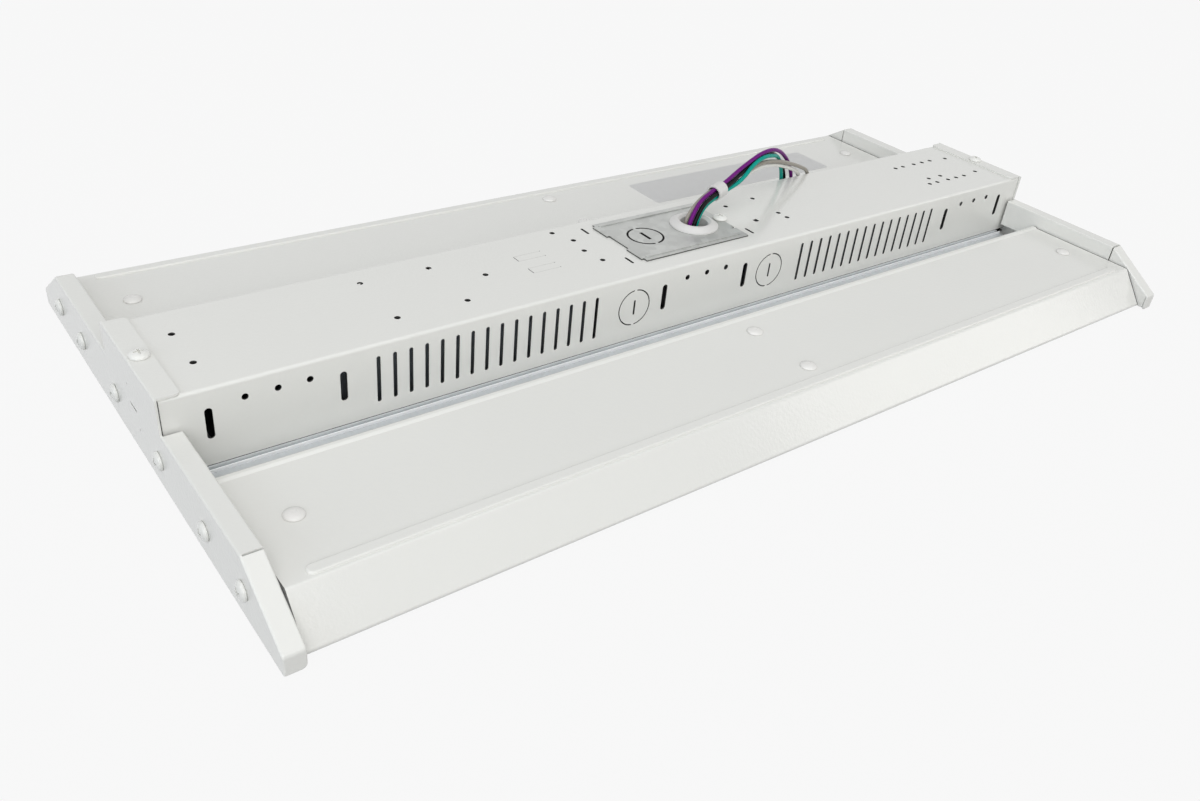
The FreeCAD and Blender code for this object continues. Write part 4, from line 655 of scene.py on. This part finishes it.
# Route of the wires in millimetres, the same as the source's: the middle of the bundle, and for each wire its
# place beside that middle along most of the run, in the bow and where the bundle opens, then its free end.
BUNDLE = [
    (52.0, 2.6, 22.0), (41.0, 2.6, 22.0), (30.6, 2.4, 24.8), (22.4, 2.0, 32.6), (18.2, 1.8, 43.4),
    (19.2, 2.0, 53.4), (26.4, 3.8, 61.2), (38.4, 8.0, 63.6), (52.8, 12.0, 65.4), (66.6, 15.0, 69.0),
    (80.0, 17.6, 73.6), (91.0, 20.0, 75.6), (104.0, 23.0, 74.6),
]
WIRES = {
    "purple": {
        "length": 0.265, "place": (2.6, -0.3), "bow": [(2.6, -1.2), (2.6, -1.6)],
        "opening": [(3.4, 0.2), (3.2, 0.0), (3.6, 0.2)],
        "end": [
            (103.6, 22.8, 79.0), (114.8, 26.2, 74.8), (126.0, 30.4, 67.4), (137.0, 35.2, 58.2),
            (146.4, 40.2, 47.2), (152.6, 44.0, 34.2), (158.4, 46.2, 21.6), (168.4, 47.0, 12.6),
            (180.4, 46.8, 9.8),
        ],
    },
    "black": {
        "length": 0.255, "place": (0.8, -2.5), "bow": [(0.0, -2.8), (-0.4, -2.6)],
        "opening": [(0.6, -0.8), (0.0, 1.2), (0.2, 1.6)],
        "end": [
            (104.6, 26.6, 75.6), (117.0, 31.8, 70.2), (128.4, 36.2, 61.8), (137.6, 39.8, 51.6),
            (143.6, 43.0, 40.0), (147.6, 45.6, 28.0), (153.0, 48.6, 17.4), (163.0, 51.6, 11.0),
            (174.6, 54.6, 9.4),
        ],
    },
    "green": {
        "length": 0.236, "place": (-2.1, -1.5), "bow": [(-2.8, -1.2), (-3.4, -1.6)],
        "opening": [(-2.4, -2.8), (1.0, -1.8), (1.6, -1.8)],
        "end": [
            (102.0, 21.4, 75.4), (112.2, 25.8, 72.2), (121.2, 31.0, 64.8), (129.6, 35.8, 56.4),
            (136.6, 40.2, 46.4), (140.6, 42.6, 34.2), (144.4, 43.8, 22.6), (151.0, 44.4, 13.2),
            (161.4, 43.6, 9.8),
        ],
    },
    "white": {
        "length": 0.246, "place": (-2.1, 1.5), "bow": [(-1.2, 1.6), (-1.6, 1.4)],
        "opening": [(-4.2, -0.2), (-5.6, 1.2), (-6.2, 0.6)],
        "end": [
            (104.2, 23.0, 68.2), (118.4, 26.4, 64.4), (132.6, 30.8, 58.8), (143.6, 34.8, 54.0),
            (152.6, 39.6, 48.0), (159.4, 43.8, 37.6), (164.4, 45.6, 25.6), (170.6, 44.4, 15.2),
            (181.6, 42.2, 9.8),
        ],
    },
    "grey": {
        "length": 0.264, "place": (0.8, 2.5), "bow": [(2.2, 2.2), (2.6, 2.0)],
        "opening": [(-1.8, 2.4), (-2.8, 0.2), (-3.0, 0.2)],
        "end": [
            (103.4, 22.0, 71.2), (117.2, 25.0, 67.6), (131.6, 28.8, 62.6), (146.4, 33.0, 56.6),
            (158.0, 37.4, 51.2), (167.6, 42.4, 41.2), (172.8, 46.2, 28.4), (178.6, 48.8, 16.6),
            (189.4, 51.0, 9.8),
        ],
    },
}


def wire_route(wire):
    """The points of a wire's route in metres: its places in the bundle, then its free end."""
    middle = [Vector(place) for place in BUNDLE]
    beside = [wire["place"]] * 4 + wire["bow"] + [wire["place"]] * 3 + wire["opening"]
    points = []
    for number, (outwards, sideways) in enumerate(beside):
        along = middle[number + 1] - middle[max(number - 1, 0)]
        outer = along.cross(Vector((0, 1, 0))).normalized()
        side = outer.cross(along).normalized()
        points.append(middle[number] + outer * outwards + side * sideways)
    points.extend(Vector(place) for place in wire["end"])
    return [point * MM for point in points]


def wire_curve(name, points, diameter):
    """A round wire on one open NURBS spline through its route."""
    curve = bpy.data.curves.new(name, "CURVE")
    curve.dimensions = "3D"
    spline = curve.splines.new("NURBS")
    spline.points.add(len(points) - 1)
    for control, point in zip(spline.points, points):
        control.co = (*point, 1.0)
    spline.order_u = 3
    spline.use_endpoint_u = True
    spline.resolution_u = 10
    curve.bevel_depth = diameter / 2
    curve.bevel_resolution = 5
    curve.use_fill_caps = True
    return curve


def copper_end(name, points, diameter, material):
    """The stripped end of a wire: a twisted bundle of fine strands that levels out above the pan."""
    length, strands, twist, steps, around = 0.009, 7, 2.4, 10, 6
    strand_radius, bundle_radius, overlap = diameter * 0.11, diameter * 0.22, 0.001
    direction = (points[-1] - points[-2]).normalized()
    start = points[-1] - direction * overlap
    side = direction.cross(UP).normalized()
    up = side.cross(direction).normalized()
    rise = UP * (-direction.z * length)

    def about(middle, angle, radius):
        return middle + (side * math.cos(angle) + up * math.sin(angle)) * radius

    form = bmesh.new()
    for number in range(strands):
        off_middle = 0.0 if number == 0 else bundle_radius
        rings = []
        for step in range(steps + 1):
            share = step / steps
            middle = start + direction * (share * length) + rise * share ** 2
            middle = about(middle, number * math.pi / 3 + share * twist, off_middle)
            rings.append([about(middle, 2 * math.pi * k / around, strand_radius) for k in range(around)])
        skin(form, rings)
    return keep(name, mesh_from(name, form), material)


# Operators, one for each piece or group of like pieces

class FoldedSheets(bpy.types.Operator):
    """Paint the folded sheets: housing, pan, end caps and lens rail"""

    bl_idname = "highbay.folded_sheets"
    bl_label = "Paint folded sheets"

    def execute(self, context):
        housing_coat, pan_coat = paint("housing_powder_coat"), paint("pan_powder_coat")
        # Painted shade inside the housing and on the walls of its holes, and a painted shadow line at its
        # left end where it meets the cap.
        add_zones(housing_coat, "inside_shade", Left_edge=-0.3088)
        # The pan's channel floor is bare zinc; its ends get a painted shadow line where they run under the
        # caps.
        add_zones(pan_coat, "pan_zones", Zinc=(0.55, 0.57, 0.58, 1.0), Edge_from=0.2999)
        dress(housing_coat, "housing")
        dress(pan_coat, "pan")
        dress(paint(), "end_cap_left", "end_cap_right", "lens_rail")
        return {"FINISHED"}


class LancedTabs(bpy.types.Operator):
    """Add the two faint lanced tabs on the housing's top, drawn as slivers of painted shade along their cuts
    """

    bl_idname = "highbay.lanced_tabs"
    bl_label = "Lanced tabs"

    def execute(self, context):
        side_gap, side_length, side_width = 0.003, 0.017, 0.00028
        end_reach, left_size, right_size = 0.0088, (0.0006, 0.0058), (0.0007, 0.0007)
        faint, dark = bmesh.new(), bmesh.new()
        for x, y in ((-93.0, 10.4), (-93.4, -5.1)):
            x, y = x * MM, y * MM
            groove(dark, x - end_reach, y, *left_size)
            for side in (-side_gap, side_gap):
                groove(faint, x, y + side, side_length, side_width)
                groove(dark, x + end_reach, y + side, *right_size)
        # Grey slivers for the tabs' sides and dark ones for their ends: painted shade in the cuts.
        grey = plastic("lance_line", (0.52, 0.52, 0.50), roughness=0.5)
        shadow = plastic("lance_shadow", (0.10, 0.10, 0.10), roughness=0.6)
        keep("lance_sides", mesh_from("lance_sides", faint), grey)
        keep("lance_ends", mesh_from("lance_ends", dark), shadow)
        return {"FINISHED"}


def groove(form, x, y, length, width):
    """A narrow cut in the housing's top, drawn as a sliver with bevelled sides in painted shade."""
    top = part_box("housing")[1].z
    half, across = length / 2, width / 2
    slope = min(half, across) * 0.3
    rings = []
    for inset, level in ((0.0, top - 0.00005), (slope, top + 0.00003)):
        out, aside = half - inset, across - inset
        corners = ((-out, -aside), (out, -aside), (out, aside), (-out, aside))
        rings.append([(x + a, y + b, level) for a, b in corners])
    skin(form, rings)


class CapScrews(bpy.types.Operator):
    """Set the painted screws in the end caps' faces and tops"""

    bl_idname = "highbay.cap_screws"
    bl_label = "End cap screws"

    def execute(self, context):
        faces = {"end_cap_screws_left": (-1, 0, 0), "end_cap_screws_right": (1, 0, 0)}
        fasteners("face_screws", faces, screw_paint(), length=0.013)
        fasteners("top_screws", {"cap_top_screws": UP}, screw_paint(), length=0.005)
        return {"FINISHED"}


class PlateScrew(bpy.types.Operator):
    """Set the white screw that clamps the access plate"""

    bl_idname = "highbay.plate_screw"
    bl_label = "Access plate screw"

    def execute(self, context):
        fasteners("plate_screw", {"access_plate_screw": UP}, screw_paint(), length=0.005)
        return {"FINISHED"}


class ZincScrews(bpy.types.Operator):
    """Set the zinc plated screws of the rail and of the drivers"""

    bl_idname = "highbay.zinc_screws"
    bl_label = "Rail and driver screws"

    def execute(self, context):
        plating = zinc("zinc_plating", (0.62, 0.63, 0.62), 0.3, spangle=0.06, lines=0.000002)
        fasteners("rail_fixings", {"rail_screws": DOWN}, plating, length=0.005)
        fasteners("driver_fixings", {"driver_screws": UP}, plating, length=0.003)
        return {"FINISHED"}


class PushRivets(bpy.types.Operator):
    """Set the white push rivets that hold the light boards"""

    bl_idname = "highbay.push_rivets"
    bl_label = "Push rivets"

    def execute(self, context):
        nylon = plastic("white_nylon", (0.81, 0.80, 0.775), roughness=0.22)
        wings = {"board_rivets_near": UP, "board_rivets_far": UP}
        fasteners("push_rivets", wings, nylon, length=0.003, kind=RIVET)
        return {"FINISHED"}


class GalvanisedSheets(bpy.types.Operator):
    """Finish the galvanised access plate and the gear tray"""

    bl_idname = "highbay.galvanised_sheets"
    bl_label = "Galvanised sheets"

    def execute(self, context):
        plate = zinc("plate_zinc", (0.52, 0.53, 0.515), 0.42)
        # Painted shadow on the plate's sides and hole walls below its top face.
        add_zones(plate, "inside_shade", Tone=0.22, Half_width=1.0, Top=0.0497, Corner=1.0)
        # Painted shade in the plate's knockout ring and pry slot, widened past the cut.
        add_zones(
            plate, "slit_shade", Middle=(-0.0168, 0.0016, 0.05), Half_size=(0.00105, 0.0050, 0.0012),
            Ring_radius=0.01075, Ring_half_width=0.00070,
        )
        dress(plate, "access_plate")
        tray = zinc("tray_zinc", (0.62, 0.645, 0.665), 0.22, spangle=0.06, lines=0.000003, metallic=0.25)
        # Painted shade on the part of the tray that lies under the housing.
        add_zones(tray, "inside_shade")
        dress(tray, "gear_tray")
        return {"FINISHED"}


class TrayHems(bpy.types.Operator):
    """Add the standing hems of the gear tray, and the tongues that carry it on to the caps"""

    bl_idname = "highbay.tray_hems"
    bl_label = "Tray hems and tongues"

    def execute(self, context):
        low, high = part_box("gear_tray")
        cap_face, sheet, overlap = 0.2989, 0.0008, 0.0001
        sheet_top = low.z + sheet

        middle, half_width, crest, steps = 0.0410, 0.0004, 0.0005, 6
        arc = [(math.cos(math.pi * k / steps), math.sin(math.pi * k / steps)) for k in range(steps + 1)]
        section = [(half_width * a, high.z + crest * b) for a, b in arc]
        section += [(-half_width, sheet_top - overlap), (half_width, sheet_top - overlap)]
        form = bmesh.new()
        for side in (-1, 1):
            ends = [[(x, side * middle + y, z) for y, z in section] for x in (-cap_face, cap_face)]
            skin(form, ends)
        # The hems take a paler zinc than the tray: a painted highlight along their crests.
        edge = zinc("hem_zinc", (0.90, 0.91, 0.92), 0.38, spangle=0.03, lines=0.0, metallic=0.1)
        keep("tray_hems", mesh_from("tray_hems", form), edge)

        foot, wall_outer, wall_inner = 0.0480, 0.03875, 0.03715
        section = (
            (foot, low.z), (foot, sheet_top), (wall_outer, sheet_top), (wall_outer, high.z),
            (wall_inner, high.z), (wall_inner, low.z),
        )
        form = bmesh.new()
        for end in (-1, 1):
            for side in (-1, 1):
                reaches = (high.x - overlap, cap_face)
                skin(form, [[(end * x, side * y, z) for y, z in section] for x in reaches])
        tray_zinc = bpy.data.materials["tray_zinc"]
        keep("tray_tongues", mesh_from("tray_tongues", form), tray_zinc)
        return {"FINISHED"}


class Bushing(bpy.types.Operator):
    """Finish the wires' bushing and their sleeve"""

    bl_idname = "highbay.bushing"
    bl_label = "Bushing and sleeve"

    def execute(self, context):
        nylon = plastic("bushing_nylon", (0.70, 0.692, 0.675), roughness=0.34)
        dress(nylon, "wire_bushing", "wire_sleeve")
        return {"FINISHED"}


class Wires(bpy.types.Operator):
    """Lay the five wires from the driver through the bushing to their bare ends"""

    bl_idname = "highbay.wires"
    bl_label = "Wires"

    def execute(self, context):
        settings = context.scene.insulation
        copper = zinc("bare_copper", (0.78, 0.38, 0.22), 0.3, spangle=0.05, lines=0.000001, metallic=1.0)
        for colour, wire in WIRES.items():
            label = "wire_" + colour
            points = wire_route(wire)
            curve = wire_curve(label + "_run", points, settings.diameter)
            covering = plastic(
                label + "_pvc", getattr(settings, colour)[:3], roughness=0.28, grain=1500.0, scuffs=0.06,
                Specular_IOR_Level=0.14,
            )
            curve.materials.append(covering)
            run = bpy.data.objects.new(label + "_run", curve)
            context.scene.collection.objects.link(run)
            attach(run, "root")
            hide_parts(label)
            end = copper_end(label + "_end", points, settings.diameter, copper)
        return {"FINISHED"}


class LightBoards(bpy.types.Operator):
    """Finish the light boards and put the phosphor windows on their diodes"""

    bl_idname = "highbay.light_boards"
    bl_label = "Light boards"

    def execute(self, context):
        boards = ("light_board_near", "light_board_far")
        mask = plastic("white_solder_mask", (0.80, 0.81, 0.79), roughness=0.4, grain=300.0, scuffs=0.02)
        dress(mask, *boards)
        phosphor = plastic("diode_phosphor", (0.80, 0.62, 0.13), roughness=0.5, grain=2500.0, scuffs=0.08)
        end_margin, row_offset, in_a_row = 0.01475, 0.011, 36
        seats = []
        for board in boards:
            low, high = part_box(board)
            middle = (low.y + high.y) / 2
            first = low.x + end_margin
            pitch = (high.x - low.x - 2 * end_margin) / (in_a_row - 1)
            for count in range(in_a_row):
                for row in (-row_offset, row_offset):
                    seats.append((Vector((first + count * pitch, middle + row, low.z)), DOWN))
        sizes = {"Diameter": 0.0024, "Height": 0.00025}
        grown("diode_windows", window_tree(), seats, sizes, phosphor)
        return {"FINISHED"}


class Lenses(bpy.types.Operator):
    """Finish the two frosted lenses"""

    bl_idname = "highbay.lenses"
    bl_label = "Lenses"

    def execute(self, context):
        frosted = plastic(
            "frosted_lens", (0.86, 0.87, 0.87), roughness=0.5, grain=1200.0, depth=0.00002, scuffs=0.01,
            IOR=1.58, Transmission_Weight=0.55,
        )
        dress(frosted, "lens_near", "lens_far")
        return {"FINISHED"}


class Drivers(bpy.types.Operator):
    """Finish the drivers' cans"""

    bl_idname = "highbay.drivers"
    bl_label = "Drivers"

    def execute(self, context):
        # A grey zinc, darkened further as painted shade inside the housing.
        can = zinc("driver_can_zinc", (0.27, 0.31, 0.34), 0.45, spangle=0.1, metallic=0.5)
        dress(can, "driver_left", "driver_right")
        return {"FINISHED"}


class BareFilm(bpy.types.Operator):
    """Lay the bare pale film on the far wing"""

    bl_idname = "highbay.bare_film"
    bl_label = "Bare film"

    def execute(self, context):
        wing_top, thickness, radius, steps = 0.0227, 0.00012, 0.0025, 5
        low_x, high_x = 0.067 + radius, 0.242 - radius
        low_y, high_y = 0.0868 + radius, 0.1215 - radius
        corners = ((high_x, high_y), (low_x, high_y), (low_x, low_y), (high_x, low_y))
        outline = [
            (x + radius * math.cos(angle), y + radius * math.sin(angle))
            for quarter, (x, y) in enumerate(corners)
            for angle in (math.pi / 2 * (quarter + step / steps) for step in range(steps + 1))
        ]
        form = bmesh.new()
        skin(form, [[(x, y, level) for x, y in outline] for level in (wing_top, wing_top + thickness)])
        film = plastic("pale_film", (0.62, 0.62, 0.615), roughness=0.4, grain=700.0, scuffs=0.03)
        keep("bare_film", mesh_from("bare_film", form), film)
        return {"FINISHED"}


class Stage(bpy.types.Operator):
    """Set the floor, the soft lamps and the camera"""

    bl_idname = "highbay.stage"
    bl_label = "Stage"

    def execute(self, context):
        scene, settings = context.scene, context.scene.studio
        scene.view_settings.view_transform = "Standard"
        reach, level = 12.0, -0.0003
        corners = ((-reach, -reach), (reach, -reach), (reach, reach), (-reach, reach))
        floor_mesh = bpy.data.meshes.new("floor")
        floor_mesh.from_pydata([(x, y, level) for x, y in corners], [], [(0, 1, 2, 3)])
        floor_mesh.materials.append(floor_material(settings.backdrop))
        floor = bpy.data.objects.new("floor", floor_mesh)
        scene.collection.objects.link(floor)
        scene.world = world_light(settings.backdrop, settings.ambient)
        warm, cool = (1.0, 0.985, 0.955), (0.82, 0.90, 1.0)
        lamp("overhead", (-0.3, -0.5, 1.9), (0.0, 0.0, 0.0), (2.4, 1.8), settings.overhead)
        lamp("right_side", (1.76, -1.375, 0.72), (0.1, -0.15, 0.01), (0.76, 0.6), settings.side, warm)
        lamp("front", (-0.95, -1.85, 1.25), (0.0, 0.0, 0.03), (2.8, 1.6), settings.front)
        lamp("left_side", (-2.2, -0.3, 0.6), (0.0, 0.0, 0.0), (1.2, 1.0), settings.left, cool)
        camera = bpy.data.objects.new("camera", bpy.data.cameras.new("camera"))
        scene.collection.objects.link(camera)
        camera.location = (-0.40040, -0.43055, 0.30711)
        camera.rotation_mode = "QUATERNION"
        camera.rotation_quaternion = Quaternion((0.839111, 0.434546, -0.196032, -0.261979))
        camera.data.sensor_width = 36.0
        camera.data.lens = 31.689
        camera.data.shift_x, camera.data.shift_y = -0.0213, 0.0024
        camera.data.clip_start, camera.data.clip_end = 0.01, 60.0
        scene.camera = camera
        return {"FINISHED"}


def seen_or_reflected(tree):
    """1 for rays from the camera and for reflected and refracted ones, else 0."""
    rays = tree.nodes.new("ShaderNodeLightPath").outputs
    seen = calc(tree, "MAXIMUM", rays["Is Camera Ray"], rays["Is Glossy Ray"])
    return calc(tree, "MAXIMUM", seen, rays["Is Transmission Ray"])


def mix_to_surface(tree, factor, lit, shown, output):
    mix = add_node(tree, "ShaderNodeMixShader", factor, lit.outputs[0], shown.outputs[0])
    tree.links.new(mix.outputs[0], tree.nodes[output].inputs["Surface"])


def floor_material(colour):
    """Pale floor that shows as the backdrop and keeps a light shadow."""
    material = bpy.data.materials.new("pale_floor")
    material.use_nodes = True
    tree = material.node_tree
    lit = tree.nodes["Principled BSDF"]
    lit.inputs["Base Color"].default_value = (0.3, 0.3, 0.3, 1.0)
    lit.inputs["Roughness"].default_value = 0.9
    glow = add_node(tree, "ShaderNodeEmission", Color=tuple(colour), Strength=1.0)
    glow_share = calc(tree, "MULTIPLY", seen_or_reflected(tree), 0.92)
    mix_to_surface(tree, glow_share, lit, glow, "Material Output")
    return material


def world_light(colour, strength):
    """Even light from all sides, which shows as the backdrop."""
    world = bpy.data.worlds.new("studio")
    world.use_nodes = True
    tree = world.node_tree
    light = tree.nodes["Background"]
    light.inputs["Color"].default_value = (0.985, 0.995, 1.0, 1.0)
    light.inputs["Strength"].default_value = strength
    shown = add_node(tree, "ShaderNodeBackground", Color=tuple(colour), Strength=0.94)
    mix_to_surface(tree, seen_or_reflected(tree), light, shown, "World Output")
    return world


def lamp(name, place, aim, size, power, colour=(1.0, 1.0, 1.0)):
    light = bpy.data.lights.new(name, "AREA")
    light.shape = "RECTANGLE"
    light.size, light.size_y = size
    light.energy = power
    light.color = colour
    piece = bpy.data.objects.new(name, light)
    piece.location = place
    piece.rotation_mode = "QUATERNION"
    piece.rotation_quaternion = (Vector(aim) - Vector(place)).to_track_quat("-Z", "Y")
    bpy.context.scene.collection.objects.link(piece)


PIECES = (
    FoldedSheets, LancedTabs, CapScrews, PlateScrew, ZincScrews, PushRivets, GalvanisedSheets, TrayHems,
    Bushing, Wires, LightBoards, Lenses, Drivers, BareFilm, Stage,
)
SETTINGS = (
    ("sheet_paint", SheetPaint), ("hardware", Hardware), ("insulation", Insulation), ("studio", Studio),
)


class HighBayPanel(bpy.types.Panel):
    """Lists the settings and the steps that finish the light"""

    bl_idname = "VIEW3D_PT_high_bay"
    bl_label = "High bay light"
    bl_space_type = "VIEW_3D"
    bl_region_type = "UI"
    bl_category = "High bay"

    def draw(self, context):
        for name, kind in SETTINGS:
            box = self.layout.box()
            box.label(text=kind.__doc__)
            for item in kind.__annotations__:
                box.prop(getattr(context.scene, name), item)
        for piece in PIECES:
            self.layout.operator(piece.bl_idname)


def register():
    for name, kind in SETTINGS:
        bpy.utils.register_class(kind)
        setattr(bpy.types.Scene, name, bpy.props.PointerProperty(type=kind))
    for kind in (*PIECES, HighBayPanel):
        bpy.utils.register_class(kind)


def unregister():
    for kind in (HighBayPanel, *reversed(PIECES)):
        bpy.utils.unregister_class(kind)
    for name, kind in reversed(SETTINGS):
        delattr(bpy.types.Scene, name)
        bpy.utils.unregister_class(kind)


def main():
    register()
    bpy.ops.highbay.folded_sheets()
    bpy.ops.highbay.lanced_tabs()
    bpy.ops.highbay.cap_screws()
    bpy.ops.highbay.plate_screw()
    bpy.ops.highbay.zinc_screws()
    bpy.ops.highbay.push_rivets()
    bpy.ops.highbay.galvanised_sheets()
    bpy.ops.highbay.tray_hems()
    bpy.ops.highbay.bushing()
    bpy.ops.highbay.wires()
    bpy.ops.highbay.light_boards()
    bpy.ops.highbay.lenses()
    bpy.ops.highbay.drivers()
    bpy.ops.highbay.bare_film()
    bpy.ops.highbay.stage()


if __name__ == "__main__":
    main()
